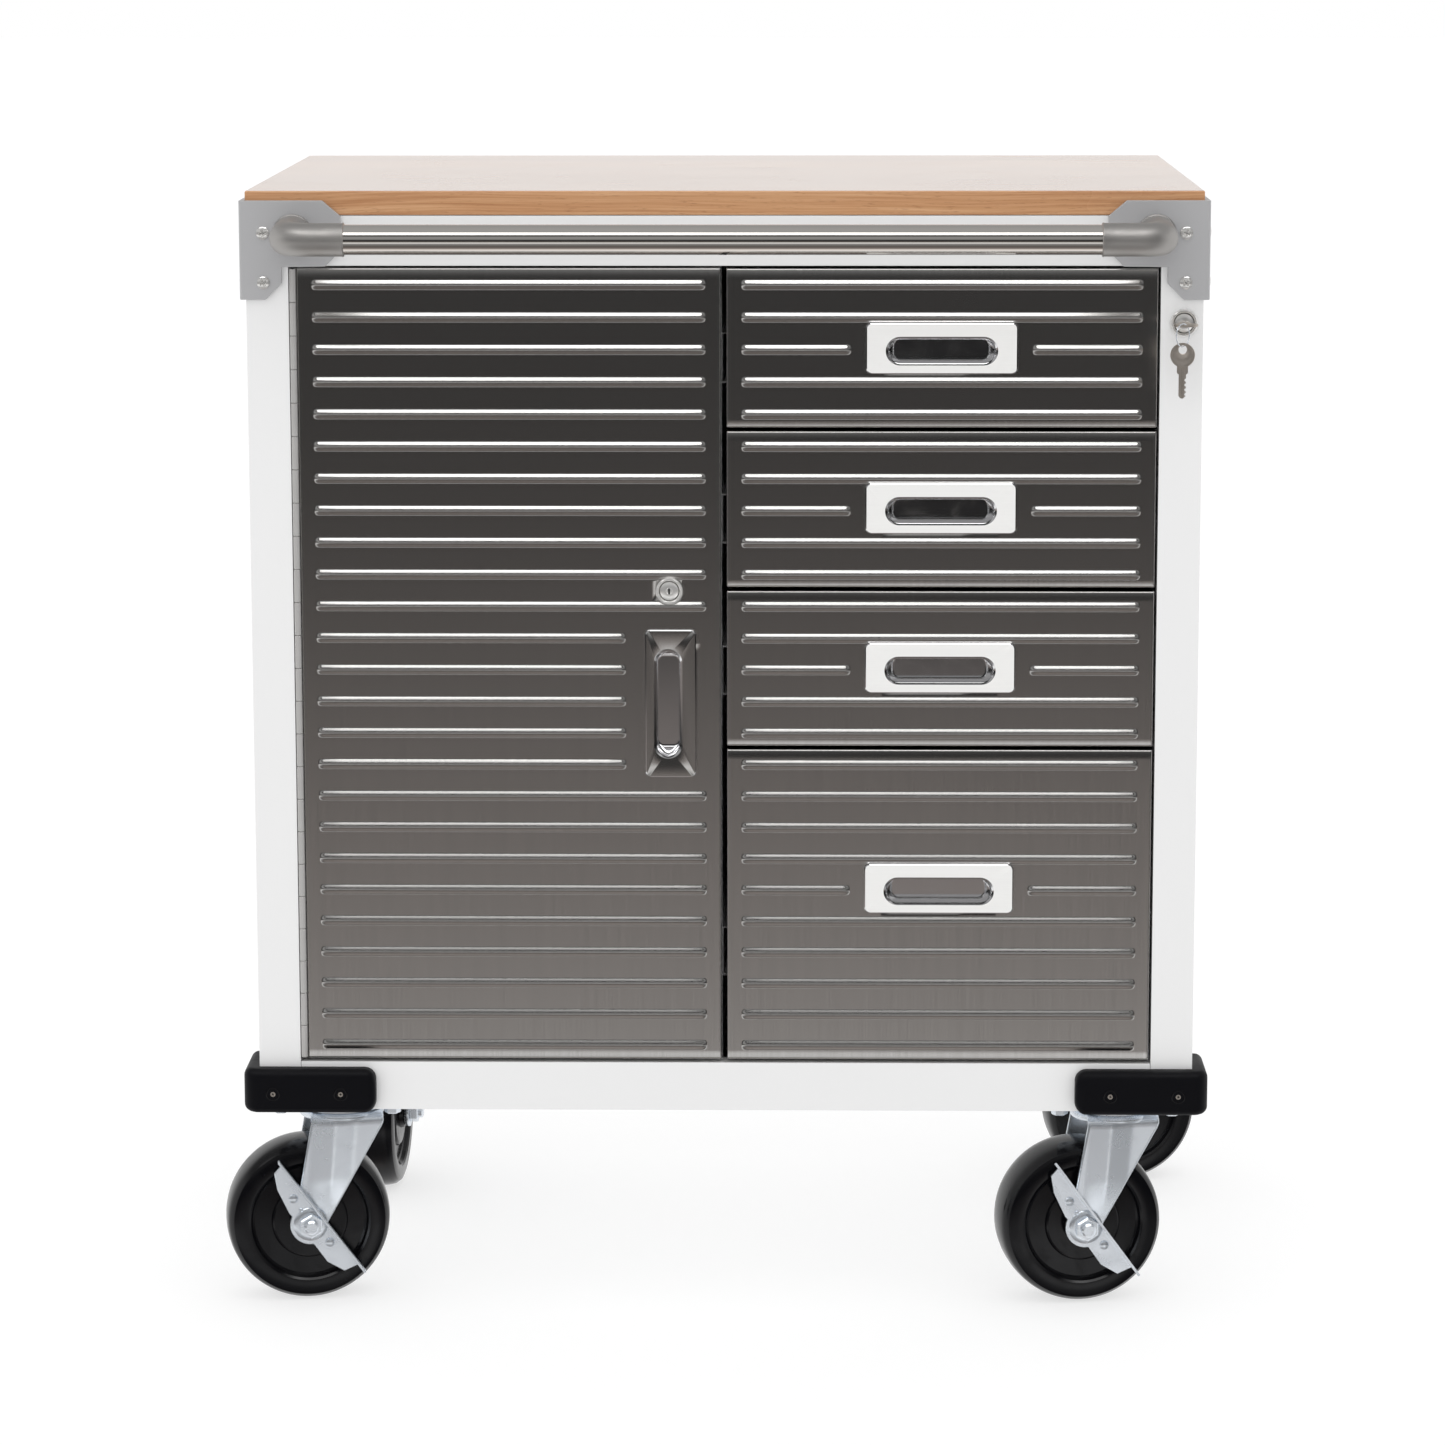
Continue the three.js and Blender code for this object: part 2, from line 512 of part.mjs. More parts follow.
// ---- push bar -----------------------------------------------------------------------------
// The bracket outline, as distances from the corner edge and heights above its lower end.
const BRACKET_Z = 782.5;
const bracketOutline = [
  [0, 0], [19.1, 0], [31.3, 12.1], [31.3, 24.3], [63.8, 24.7], [75.6, 36.5], [75.6, 62.1],
  [62.1, 73.5], [0, 73.5],
];
const CORNER = HALF + GAP + BRACKET;
const BRACKET_FRONT = FRONT - GAP - BRACKET;
function cornerBracket(side) {
  const frontFace = polygon(bracketOutline.map(([a, z]) => [side * (CORNER - a), BRACKET_Z + z]));
  const sideFace = polygon(bracketOutline.map(([a, z]) => [BRACKET_FRONT + a, BRACKET_Z + z]));
  const x = side * (CORNER - BRACKET);
  const [x0, x1] = [Math.min(x, side * CORNER), Math.max(x, side * CORNER)];
  return join(extrudeForward(frontFace, BRACKET_FRONT, BRACKET_FRONT + BRACKET),
    extrudeAcross(sideFace, x0, x1));
}

// The elbow leaves the bracket forwards, and bends towards the middle of the chest.
function elbow(side) {
  const reach = FRONT - BAR.standoff;
  const bendStart = reach + BAR.bend;
  const corner = new THREE.Vector3(side * BAR.elbowX, reach, BAR.z);
  const path = new THREE.CurvePath();
  const atWall = new THREE.Vector3(side * BAR.elbowX, BRACKET_FRONT - GAP, BAR.z);
  const intoBend = new THREE.Vector3(side * BAR.elbowX, bendStart, BAR.z);
  const outOfBend = new THREE.Vector3(side * (BAR.elbowX - BAR.bend), reach, BAR.z);
  const mouth = new THREE.Vector3(side * BAR.elbowEnd, reach, BAR.z);
  path.add(new THREE.LineCurve3(atWall, intoBend));
  path.add(new THREE.QuadraticBezierCurve3(intoBend, corner, outOfBend));
  path.add(new THREE.LineCurve3(outOfBend, mouth));
  const round = new THREE.Shape().absarc(0, 0, ELBOW_RADIUS, 0, 2 * Math.PI);
  const bend = new THREE.ExtrudeGeometry(round,
    { extrudePath: path, steps: 8, curveSegments: 8 });
  const foot = barAlongY(14.5, BRACKET_FRONT - GAP - 5, BRACKET_FRONT - GAP,
    side * BAR.elbowX, BAR.z, 16);
  const bore = new THREE.CylinderGeometry(BAR.radius + GAP, BAR.radius + GAP, 20, 16)
    .rotateZ(RIGHT_ANGLE).translate(side * (BAR.elbowEnd - 10 + 13), reach, BAR.z);
  return cut(join(bend, foot), bore);
}
[[-1, 'left'], [1, 'right']].forEach(([side, word]) => {
  add(`corner_bracket_${word}`, cornerBracket(side), BRACKET_SILVER);
  add(`bar_elbow_${word}`, elbow(side), PEWTER);
});
const barRing = new THREE.Shape().absarc(0, 0, BAR.radius, 0, 2 * Math.PI);
barRing.holes.push(new THREE.Path().absarc(0, 0, BAR.radius - 1.5, 0, 2 * Math.PI, true));
const barEnd = BAR.elbowEnd + 12.5;
const pushBar = add('push_bar', extrudeAcross(barRing, -barEnd, barEnd, 10), CHROME);
pushBar.position.set(0, FRONT - BAR.standoff, BAR.z);

// ---- corner bumpers -----------------------------------------------------------------------
const BUMPER_Z = 161.6;
// The outline of the front left bumper, with y measured from the cabinet's front.
function bumperOutline() {
  const { thickness, frontLeg, sideLeg, corner } = BUMPER;
  const outerX = -HALF - GAP - thickness;
  const outerY = -GAP - thickness;
  const shape = new THREE.Shape();
  shape.moveTo(outerX + frontLeg, -GAP);
  shape.lineTo(-HALF - GAP, -GAP);
  shape.lineTo(-HALF - GAP, outerY + sideLeg);
  shape.lineTo(outerX + 4, outerY + sideLeg - 3);
  shape.lineTo(outerX, outerY + sideLeg - 12);
  shape.absarc(outerX + corner, outerY + corner, corner, Math.PI, 1.5 * Math.PI);
  shape.lineTo(outerX + frontLeg - 5, outerY);
  shape.lineTo(outerX + frontLeg, outerY + 4);
  return shape.getPoints(4);
}
function bumper(side, rear) {
  const outline = bumperOutline().map(({ x, y }) => [-side * x, rear ? -y : y]);
  return extrudeUp(polygon(outline), BUMPER_Z, BUMPER_Z + BUMPER.height)
    .translate(0, rear ? BACK : FRONT, 0);
}
[[-1, 'left'], [1, 'right']].forEach(([side, word]) => {
  add(`bumper_front_${word}`, bumper(side, false), BLACK_RUBBER);
  add(`bumper_rear_${word}`, bumper(side, true), BLACK_RUBBER);
});

// ---- casters ------------------------------------------------------------------------------
// Each caster is drawn about its swivel axis, with the wheel trailing towards -X.
const PLATE_TOP = BODY_BOTTOM - GAP;
const PLATE_BOTTOM = PLATE_TOP - 3.7;
const CROWN_TOP = 150;
const CROWN_BOTTOM = 146.8;
const LEG_INNER = 26.5;
const LEG = 2.8;

// Mounting plate, upper raceway, and the kingpin that the fork hangs on.
function casterPlate() {
  const plate = extrudeUp(roundedRectangle(108, 95, 8), PLATE_BOTTOM, PLATE_TOP, 2);
  const raceway = turned([
    [0, -1], [42, -1], [33, 5], [33, 8.3], [6, 8.3], [6, 12.2], [9.5, 12.2], [9.5, 15.8], [0, 15.8],
  ], 14).rotateX(-RIGHT_ANGLE).translate(0, 0, PLATE_BOTTOM);
  return join(plate, raceway);
}

// The fork: an inverted channel trimmed to the leg outline, with the lower raceway on top.
function casterFork() {
  const channel = extrudeAcross(bentSheet([
    [-LEG_INNER - LEG, 40], [-LEG_INNER - LEG, CROWN_TOP],
    [LEG_INNER + LEG, CROWN_TOP], [LEG_INNER + LEG, 40],
  ], LEG), -60, 60);
  const legSide = new THREE.Shape();
  legSide.moveTo(-26, CROWN_TOP + 5);
  legSide.lineTo(30, CROWN_TOP + 5);
  legSide.lineTo(30, CROWN_TOP - 6);
  legSide.lineTo(-TRAIL + 12, WHEEL.radius - 5);
  legSide.absarc(-TRAIL, WHEEL.radius, 13, -0.4, -Math.PI + 0.15, true);
  legSide.closePath();
  const trimmed = common(channel, extrudeForward(legSide, -60, 60, 4));
  const crown = barAlongZ(31, CROWN_BOTTOM, CROWN_TOP, 0, 0, 18);
  const pinHole = barAlongZ(6.5, CROWN_BOTTOM - 5, CROWN_TOP + 5, 0, 0, 12);
  const axleHole = barAlongY(6.4, -60, 60, -TRAIL, WHEEL.radius, 12);
  return cut(join(trimmed, crown), pinHole, axleHole);
}

// The axle bolt, with its head at the back and its nut in front.
function casterAxle(frontStack) {
  const nutY = -LEG_INNER - LEG - frontStack;
  return join(barAlongY(6, nutY - 10, LEG_INNER + LEG + 2, -TRAIL, WHEEL.radius, 12),
    barAlongY(9.5, nutY - 7, nutY - GAP, -TRAIL, WHEEL.radius, 6),
    barAlongY(9.5, LEG_INNER + LEG + GAP, LEG_INNER + LEG + 6, -TRAIL, WHEEL.radius, 6));
}

// The wheel rests on one of its flats, so the corner radius is a little larger.
const WHEEL_SIDES = 24;
function casterWheel() {
  const r = WHEEL.radius / Math.cos(Math.PI / WHEEL_SIDES);
  const half = WHEEL.width / 2;
  const outer = [
    [6.5, -half - 1.5], [12, -half - 1.5], [14, -half + 3], [44, -half + 3.5],
    [46.5, -half + 0.5], [57, -half + 1], [r, -half + 10],
  ];
  const profile = [...outer, ...outer.map(([radius, y]) => [radius, -y]).reverse(), outer[0]];
  return turned(profile, WHEEL_SIDES).rotateY(Math.PI / WHEEL_SIDES)
    .translate(-TRAIL, 0, WHEEL.radius);
}

// The brake lever lies on the axle outside the front leg: a plate with a round middle and two
// wings, and a flange along its upper edge.
const LEVER_SLOPE = THREE.MathUtils.degToRad(-54);
const LEVER_Y = -LEG_INNER - LEG - GAP;
function brakeLever() {
  const wings = new THREE.Shape();
  wings.moveTo(-52, 11);
  wings.lineTo(-50, 2);
  wings.lineTo(-38, -4);
  wings.lineTo(-17, -8);
  wings.absarc(0, 0, 16, Math.PI + 0.5, 2 * Math.PI - 0.5, false);
  wings.lineTo(32, -8);
  wings.lineTo(46, -2);
  wings.lineTo(49, 11);
  wings.closePath();
  const hole = new THREE.Path();
  hole.absarc(0, 0, 6.4, 0, 2 * Math.PI, true);
  wings.holes.push(hole);
  const face = extrudeForward(wings, LEVER_Y - 2, LEVER_Y, 5);
  const flange = block(-56, 56, LEVER_Y - 8, LEVER_Y, 9.5, 11.5);
  return join(face, flange).rotateY(-LEVER_SLOPE).translate(-TRAIL, 0, WHEEL.radius);
}

const FRONT_PIVOT = FRONT + PIVOT_INSET;
const REAR_PIVOT = BACK - PIVOT_INSET;
const CASTERS = [
  { place: 'front_left', x: -PIVOT_X, y: FRONT_PIVOT, yaw: 10, brake: 'left' },
  { place: 'front_right', x: PIVOT_X, y: FRONT_PIVOT, yaw: 10, brake: 'right' },
  { place: 'rear_left', x: -PIVOT_X, y: REAR_PIVOT, yaw: 86 },
  { place: 'rear_right', x: PIVOT_X, y: REAR_PIVOT, yaw: 190 },
];
CASTERS.forEach(({ place, x, y, yaw, brake }) => {
  const fixed = new THREE.Group();
  fixed.position.set(x, y, 0);
  const swivel = new THREE.Group();
  swivel.rotation.z = THREE.MathUtils.degToRad(yaw);
  fixed.add(swivel);
  chest.add(fixed);
  add(`caster_plate_${place}`, casterPlate(), ZINC, fixed);
  add(`caster_fork_${place}`, casterFork(), ZINC, swivel);
  add(`caster_axle_${place}`, casterAxle(brake ? 2 + GAP : 0), ZINC, swivel);
  add(`caster_wheel_${place}`, casterWheel(), BLACK_WHEEL, swivel);
  if (brake) add(`brake_lever_${brake}`, brakeLever(), ZINC, swivel);
});

export default chest;
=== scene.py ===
# %% [markdown]
# # A rolling tool chest
# The chest is a white steel cabinet on four casters, with a beech worktop, a push bar, a ribbed
# stainless door and four ribbed drawers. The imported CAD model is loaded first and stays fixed:
# it says where every part is and how it moves. Each step below dresses some of its parts with a
# finer surface, or with a better finish.

# %% Load the frame
import json
import math

import bmesh
import bpy
import numpy as np
from mathutils import Matrix, Vector


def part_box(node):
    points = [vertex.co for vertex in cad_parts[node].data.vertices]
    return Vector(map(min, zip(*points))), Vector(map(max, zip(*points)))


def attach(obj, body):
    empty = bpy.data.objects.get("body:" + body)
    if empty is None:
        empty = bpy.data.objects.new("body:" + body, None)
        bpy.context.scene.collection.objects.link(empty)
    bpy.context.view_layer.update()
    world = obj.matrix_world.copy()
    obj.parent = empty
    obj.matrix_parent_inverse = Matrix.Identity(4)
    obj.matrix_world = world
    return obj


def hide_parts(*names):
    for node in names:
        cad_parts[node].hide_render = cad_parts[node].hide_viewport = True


MM = 0.001
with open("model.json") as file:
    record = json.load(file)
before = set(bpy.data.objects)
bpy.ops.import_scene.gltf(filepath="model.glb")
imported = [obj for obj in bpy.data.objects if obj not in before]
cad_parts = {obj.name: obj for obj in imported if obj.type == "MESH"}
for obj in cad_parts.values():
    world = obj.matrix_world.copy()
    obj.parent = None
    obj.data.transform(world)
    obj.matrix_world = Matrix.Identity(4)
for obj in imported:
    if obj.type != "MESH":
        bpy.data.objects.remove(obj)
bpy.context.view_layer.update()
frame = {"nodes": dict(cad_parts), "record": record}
bodies = frame["record"]["behaviour"]["bodies"]
body_of = {node: body for body, nodes in bodies.items() for node in nodes}

# %% Where the cabinet stands, read from the frame
side_low, side_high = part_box("side_left")
FRONT = side_low.y
BACK = side_high.y
BODY_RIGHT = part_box("side_right")[1].x
print("front face at y =", round(FRONT, 4), "back at y =", round(BACK, 4))

# %% [markdown]
# ## Camera
# A chest is shown from the front with a long lens, a little above the worktop, so that the front
# stays almost square. A camera could look straight ahead with a large lens shift, but such a shift
# pushes the chest out of every other view. This one is tilted down instead, and keeps only a small
# shift.

# %% Camera
CAMERA_DISTANCE = 3.446
CAMERA_HEIGHT = 1.086
CAMERA_SIDE = 0.059
AIM = Vector((-0.0015, FRONT, 0.4634))
LENS = 115.8
SENSOR = 36.0
SHIFT = -0.06
ROLL = math.radians(-0.08)
camera_data = bpy.data.cameras.new("camera")
camera_data.lens = LENS
camera_data.sensor_width = SENSOR
camera_data.shift_y = SHIFT
camera = bpy.data.objects.new("camera", camera_data)
bpy.context.scene.collection.objects.link(camera)
camera.location = (CAMERA_SIDE, FRONT - CAMERA_DISTANCE, CAMERA_HEIGHT)
look = (AIM - camera.location).to_track_quat("-Z", "Y")
lift = Matrix.Rotation(math.atan(-SHIFT * SENSOR / LENS), 4, "X")
roll = Matrix.Rotation(ROLL, 4, "Z")
camera.rotation_euler = (look.to_matrix().to_4x4() @ lift @ roll).to_euler()
bpy.context.scene.camera = camera
print("camera at", [round(v, 3) for v in camera.location])

# %% [markdown]
# ## Studio
# Bare metal shows the room more than itself, so the room matters as much as the steel. A real
# studio has a white sweep behind and under the object, a large softbox above, and darkness behind
# the camera. The room could be built from lamps and cards, but a world shader does the same with
# ramps of light over direction. Mirror rays that turn back to the front read one ramp by how
# steeply they climb, times a second by how far they lean to the right. Mirror rays that go on to
# the back read the sweep. Soft rays find the same light all round, and the camera sees plain white.
# Two large lamps add to the soft light from above and from the front.

# %% Node helpers
def add_node(tree, kind, **settings):
    """A new node of that kind, with its plain properties and unlinked inputs set by name."""
    node = tree.nodes.new(kind)
    for key, value in settings.items():
        if key in node.inputs:
            node.inputs[key].default_value = value
        else:
            setattr(node, key, value)
    return node


def math_node(tree, operation, first, second=0.0):
    """The output of a Math node; each operand is a number or another node's output."""
    node = add_node(tree, "ShaderNodeMath", operation=operation)
    for socket, operand in zip(node.inputs, (first, second)):
        if isinstance(operand, bpy.types.NodeSocket):
            tree.links.new(operand, socket)
        else:
            socket.default_value = operand
    return node.outputs[0]


def ramp_node(tree, factor, stops, interpolation="LINEAR"):
    """A colour ramp through (position, grey or colour) stops."""
    node = add_node(tree, "ShaderNodeValToRGB")
    ramp = node.color_ramp
    ramp.interpolation = interpolation
    while len(ramp.elements) < len(stops):
        ramp.elements.new(0.5)
    for element, (position, value) in zip(ramp.elements, stops):
        colour = (value, value, value) if isinstance(value, (int, float)) else value
        element.position = position
        element.color = (*colour, 1.0)
    tree.links.new(factor, node.inputs["Fac"])
    return node.outputs["Color"]


def mix_colour(tree, factor, first, second, blend="MIX"):
    """A Mix node for colours; factor, first and second are values or outputs."""
    node = add_node(tree, "ShaderNodeMix", data_type="RGBA", blend_type=blend)
    for index, operand in ((0, factor), (6, first), (7, second)):
        if isinstance(operand, bpy.types.NodeSocket):
            tree.links.new(operand, node.inputs[index])
        elif index == 0:
            node.inputs[index].default_value = operand
        else:
            node.inputs[index].default_value = (*operand, 1.0)
    return node.outputs[2]


print("node helpers: plain, math, ramp, mix")

# %% Room as ramps
# Each stop is (elevation of the ray in degrees, light). Values above 1 are carried by WORLD_GAIN,
# because a ramp holds nothing brighter than 1.
WORLD_GAIN = 3.0
ROOM = [
    (-90, 0.9), (-78, 0.9), (-70, 0.3), (-62, 0.24), (-58, 0.15), (-50, 0.12), (-30, 0.25),
    (-24, 0.75), (-17, 0.75), (-15.2, 0.23), (-10.5, 0.19), (-9, 0.035), (-7.5, 0.012),
    (-5, 0.02), (2, 0.06), (8, 0.28), (26, 0.3), (32, 0.03), (39.5, 0.03), (43.5, 2.8),
    (56, 2.8), (62, 0.4), (90, 0.4),
]
# The stops that lie inside a warm band take FLOOR_TINT, which warms what the steel mirrors there.
WARM_BANDS = [(-91, -40), (-16, -9.5)]
FLOOR_TINT = (1.0, 0.89, 0.84)
# (x of the ray's direction, gain): a little lighter to the left, even ahead, and to the right a
# light panel and then a dark one.
PANEL_GAIN = 1.6
PANELS = [(-1, 1.2), (-0.6, 1.2), (-0.25, 1.0), (0.20, 1.0), (0.33, 1.6), (0.42, 1.5), (0.52, 0.45),
          (1, 0.45)]
# What a ray meets that goes on to the back, by elevation in degrees.
BACK_SWEEP = [(-90, 0.84), (18, 0.84), (32, 0.32), (90, 0.40)]
# y of the ray's direction, from where the room starts to give way to the sweep to where it has.
SWEEP_FROM, SWEEP_FULL = -0.45, 0.10
AMBIENT = 0.98
print("room:", len(ROOM), "stops, panels:", len(PANELS))

# %% World
world = bpy.data.worlds.new("studio")
bpy.context.scene.world = world
world.use_nodes = True
tree = world.node_tree
tree.nodes.clear()
direction = add_node(tree, "ShaderNodeTexCoord").outputs["Generated"]
axes = add_node(tree, "ShaderNodeSeparateXYZ")
tree.links.new(direction, axes.inputs[0])
height = math_node(tree, "ARCSINE", axes.outputs["Z"])
elevation = math_node(tree, "ADD", math_node(tree, "MULTIPLY", height, 1 / math.pi), 0.5)
stops = []
for angle, value in ROOM:
    warm = any(low < angle < high for low, high in WARM_BANDS)
    light = [value / WORLD_GAIN * (part if warm else 1) for part in FLOOR_TINT]
    stops.append(((angle + 90) / 180, light))
room = ramp_node(tree, elevation, stops)
sideways = math_node(tree, "ADD", math_node(tree, "MULTIPLY", axes.outputs["X"], 0.5), 0.5)
panels = ramp_node(tree, sideways, [((x + 1) / 2, value / PANEL_GAIN) for x, value in PANELS])
lit_room = mix_colour(tree, 1.0, room, panels, "MULTIPLY")
room_light = mix_colour(tree, 1.0, lit_room, (WORLD_GAIN * PANEL_GAIN,) * 3, "MULTIPLY")
facing_back = add_node(tree, "ShaderNodeMapRange", interpolation_type="SMOOTHSTEP")
tree.links.new(axes.outputs["Y"], facing_back.inputs["Value"])
facing_back.inputs["From Min"].default_value = SWEEP_FROM
facing_back.inputs["From Max"].default_value = SWEEP_FULL
sweep_stops = [((angle + 90) / 180, value) for angle, value in BACK_SWEEP]
back_light = ramp_node(tree, elevation, sweep_stops)
mirror_light = mix_colour(tree, facing_back.outputs["Result"], room_light, back_light)
ray = add_node(tree, "ShaderNodeLightPath")
soft_light = mix_colour(tree, ray.outputs["Is Glossy Ray"], (AMBIENT,) * 3, mirror_light)
seen_light = mix_colour(tree, ray.outputs["Is Camera Ray"], soft_light, (1.0, 1.0, 1.0))
background = add_node(tree, "ShaderNodeBackground")
tree.links.new(seen_light, background.inputs["Color"])
output = add_node(tree, "ShaderNodeOutputWorld")
tree.links.new(background.outputs[0], output.inputs["Surface"])
bpy.context.scene.view_settings.view_transform = "Standard"
print("world:", len(tree.nodes), "nodes")


# %% Lamps
def soft_lamp(name, location, target, size, power):
    """A square area lamp that lights matt surfaces and leaves mirrors to the world."""
    data = bpy.data.lights.new(name, "AREA")
    data.size = size
    data.energy = power
    lamp = bpy.data.objects.new(name, data)
    lamp.location = location
    lamp.rotation_euler = (Vector(target) - Vector(location)).to_track_quat("-Z", "Y").to_euler()
    lamp.visible_glossy = False
    bpy.context.scene.collection.objects.link(lamp)
    return lamp


CHEST_MIDDLE = (0.0, 0.0, 0.45)
soft_lamp("overhead_lamp", (0.0, -0.9, 3.0), CHEST_MIDDLE, size=2.4, power=9)
soft_lamp("front_lamp", (-1.6, -3.4, 1.6), CHEST_MIDDLE, size=2.0, power=8)
print("lamps:", [light.name for light in bpy.data.lights])

# %% Floor
# The floor is grey paper that gives off most of its light itself: it stays near white, and the
# shadow on it stays pale.
FLOOR_REACH = 30.0
PAPER_GREY = 0.36
PAPER_GLOW = 0.66
floor_mesh = bpy.data.meshes.new("floor")
corners = [(-1, -1), (1, -1), (1, 1), (-1, 1)]
floor_points = [(x * FLOOR_REACH, y * FLOOR_REACH, 0) for x, y in corners]
floor_mesh.from_pydata(floor_points, [], [(0, 1, 2, 3)])
floor = bpy.data.objects.new("floor", floor_mesh)
bpy.context.scene.collection.objects.link(floor)
floor_material = bpy.data.materials.new("floor_paper")
floor_material.use_nodes = True
paper = floor_material.node_tree.nodes["Principled BSDF"]
paper.inputs["Base Color"].default_value = (PAPER_GREY, PAPER_GREY, PAPER_GREY, 1)
paper.inputs["Emission Color"].default_value = (1, 1, 1, 1)
paper.inputs["Emission Strength"].default_value = PAPER_GLOW
paper.inputs["Roughness"].default_value = 0.9
floor_mesh.materials.append(floor_material)
floor.visible_glossy = False
print("floor staged")

# %% [markdown]
# ## Shared effects
# Four effects turn up in several finishes: fine parallel scratches on brushed metal, the skin of
# sprayed powder, small smears that change how glossy a surface is, and dust that settles on what
# faces up. Each one is built once as a node group with named inputs, and every material
# then sets its own values.

# %% Group helper
def new_group(name, inputs, outputs):
    """An empty shader group; inputs are (name, socket type, default), outputs (name, type)."""
    group = bpy.data.node_groups.new(name, "ShaderNodeTree")
    for label, kind, default in inputs:
        group.interface.new_socket(name=label, in_out="INPUT", socket_type=kind).default_value = default
    for label, kind in outputs:
        group.interface.new_socket(name=label, in_out="OUTPUT", socket_type=kind)
    return group, group.nodes.new("NodeGroupInput"), group.nodes.new("NodeGroupOutput")


FLOAT = "NodeSocketFloat"
VECTOR = "NodeSocketVector"


def stretched_noise(tree, vector, scale, detail=3.0, roughness=0.6):
    """Noise on coordinates multiplied by scale: a vector, or an output that holds one."""
    stretch = add_node(tree, "ShaderNodeVectorMath", operation="MULTIPLY")
    tree.links.new(vector, stretch.inputs[0])
    if isinstance(scale, bpy.types.NodeSocket):
        tree.links.new(scale, stretch.inputs[1])
    else:
        stretch.inputs[1].default_value = scale
    noise = add_node(tree, "ShaderNodeTexNoise", Scale=1.0, Detail=detail, Roughness=roughness)
    tree.links.new(stretch.outputs[0], noise.inputs["Vector"])
    return noise.outputs["Fac"]


# %% Brushed scratches
def build_scratches():
    """Noise squeezed along the brushing: a tone from 1-Depth to 1, a roughness, and a height."""
    group, inside, outside = new_group(
        "scratches", [("Vector", VECTOR, (0, 0, 0)), ("Stretch", VECTOR, (2500, 2500, 8)),
                      ("Depth", FLOAT, 0.12), ("Roughness", FLOAT, 0.3)],
        [("Tone", FLOAT), ("Roughness", FLOAT), ("Height", FLOAT)])
    fine = stretched_noise(group, inside.outputs["Vector"], inside.outputs["Stretch"])
    broad_scale = add_node(group, "ShaderNodeVectorMath", operation="SCALE", Scale=0.13)
    group.links.new(inside.outputs["Stretch"], broad_scale.inputs[0])
    broad = stretched_noise(group, inside.outputs["Vector"], broad_scale.outputs[0])
    both = math_node(group, "ADD", math_node(group, "MULTIPLY", fine, 0.75),
                     math_node(group, "MULTIPLY", broad, 0.25))
    drop = math_node(group, "MULTIPLY", both, inside.outputs["Depth"])
    group.links.new(math_node(group, "SUBTRACT", 1.0, drop), outside.inputs["Tone"])
    swing = math_node(group, "MULTIPLY", math_node(group, "SUBTRACT", both, 0.5), 0.06)
    group.links.new(math_node(group, "ADD", inside.outputs["Roughness"], swing),
                    outside.inputs["Roughness"])
    group.links.new(both, outside.inputs["Height"])
    return group


SCRATCHES = build_scratches()
print("scratches:", len(SCRATCHES.nodes), "nodes")


# %% Powder skin
def build_powder():
    """Two sizes of soft noise added: the slight orange peel of baked powder."""
    group, inside, outside = new_group(
        "powder_skin", [("Vector", VECTOR, (0, 0, 0)), ("Grain", FLOAT, 900.0)], [("Height", FLOAT)])
    sizes = []
    for share in (1.0, 0.35):
        noise = add_node(group, "ShaderNodeTexNoise", Detail=2.0)
        group.links.new(inside.outputs["Vector"], noise.inputs["Vector"])
        group.links.new(math_node(group, "MULTIPLY", inside.outputs["Grain"], share),
                        noise.inputs["Scale"])
        sizes.append(noise.outputs["Fac"])
    group.links.new(math_node(group, "ADD", *sizes), outside.inputs["Height"])
    return group


POWDER = build_powder()
print("powder skin:", len(POWDER.nodes), "nodes")


# %% Smears and dust
def build_smears():
    """Large noise raised to a curve: the mask of hand smears, and the roughness they add."""
    group, inside, outside = new_group(
        "smears", [("Vector", VECTOR, (0, 0, 0)), ("Size", FLOAT, 9.0), ("Base", FLOAT, 0.3),
                   ("Amount", FLOAT, 0.08)], [("Roughness", FLOAT), ("Mask", FLOAT)])
    noise = add_node(group, "ShaderNodeTexNoise", Detail=4.0, Roughness=0.65, Distortion=0.6)
    group.links.new(inside.outputs["Vector"], noise.inputs["Vector"])
    group.links.new(inside.outputs["Size"], noise.inputs["Scale"])
    mask = add_node(group, "ShaderNodeMapRange", interpolation_type="SMOOTHSTEP")
    group.links.new(noise.outputs["Fac"], mask.inputs["Value"])
    mask.inputs["From Min"].default_value = 0.42
    mask.inputs["From Max"].default_value = 0.68
    extra = math_node(group, "MULTIPLY", mask.outputs["Result"], inside.outputs["Amount"])
    group.links.new(math_node(group, "ADD", inside.outputs["Base"], extra), outside.inputs["Roughness"])
    group.links.new(mask.outputs["Result"], outside.inputs["Mask"])
    return group


def build_dust():
    """Noise times how much the face looks up: a mask of settled dust."""
    group, inside, outside = new_group(
        "dust", [("Vector", VECTOR, (0, 0, 0)), ("Amount", FLOAT, 0.3)], [("Mask", FLOAT)])
    normal = add_node(group, "ShaderNodeNewGeometry")
    parts = add_node(group, "ShaderNodeSeparateXYZ")
    group.links.new(normal.outputs["Normal"], parts.inputs[0])
    up = math_node(group, "MAXIMUM", parts.outputs["Z"], 0.0)
    noise = add_node(group, "ShaderNodeTexNoise", Scale=60.0, Detail=5.0)
    group.links.new(inside.outputs["Vector"], noise.inputs["Vector"])
    patch = math_node(group, "MULTIPLY", noise.outputs["Fac"], up)
    group.links.new(math_node(group, "MULTIPLY", patch, inside.outputs["Amount"]), outside.inputs["Mask"])
    return group


SMEARS = build_smears()
DUST = build_dust()
print("groups:", [group.name for group in bpy.data.node_groups])

# %% [markdown]
# ## Finishes
# Every finish starts from a Principled shader. What is the same all over a surface is set on its
# own socket. What changes over the surface comes through nodes that read the piece's own
# Object coordinates, so the pattern keeps its size in metres and stays put when the piece moves.

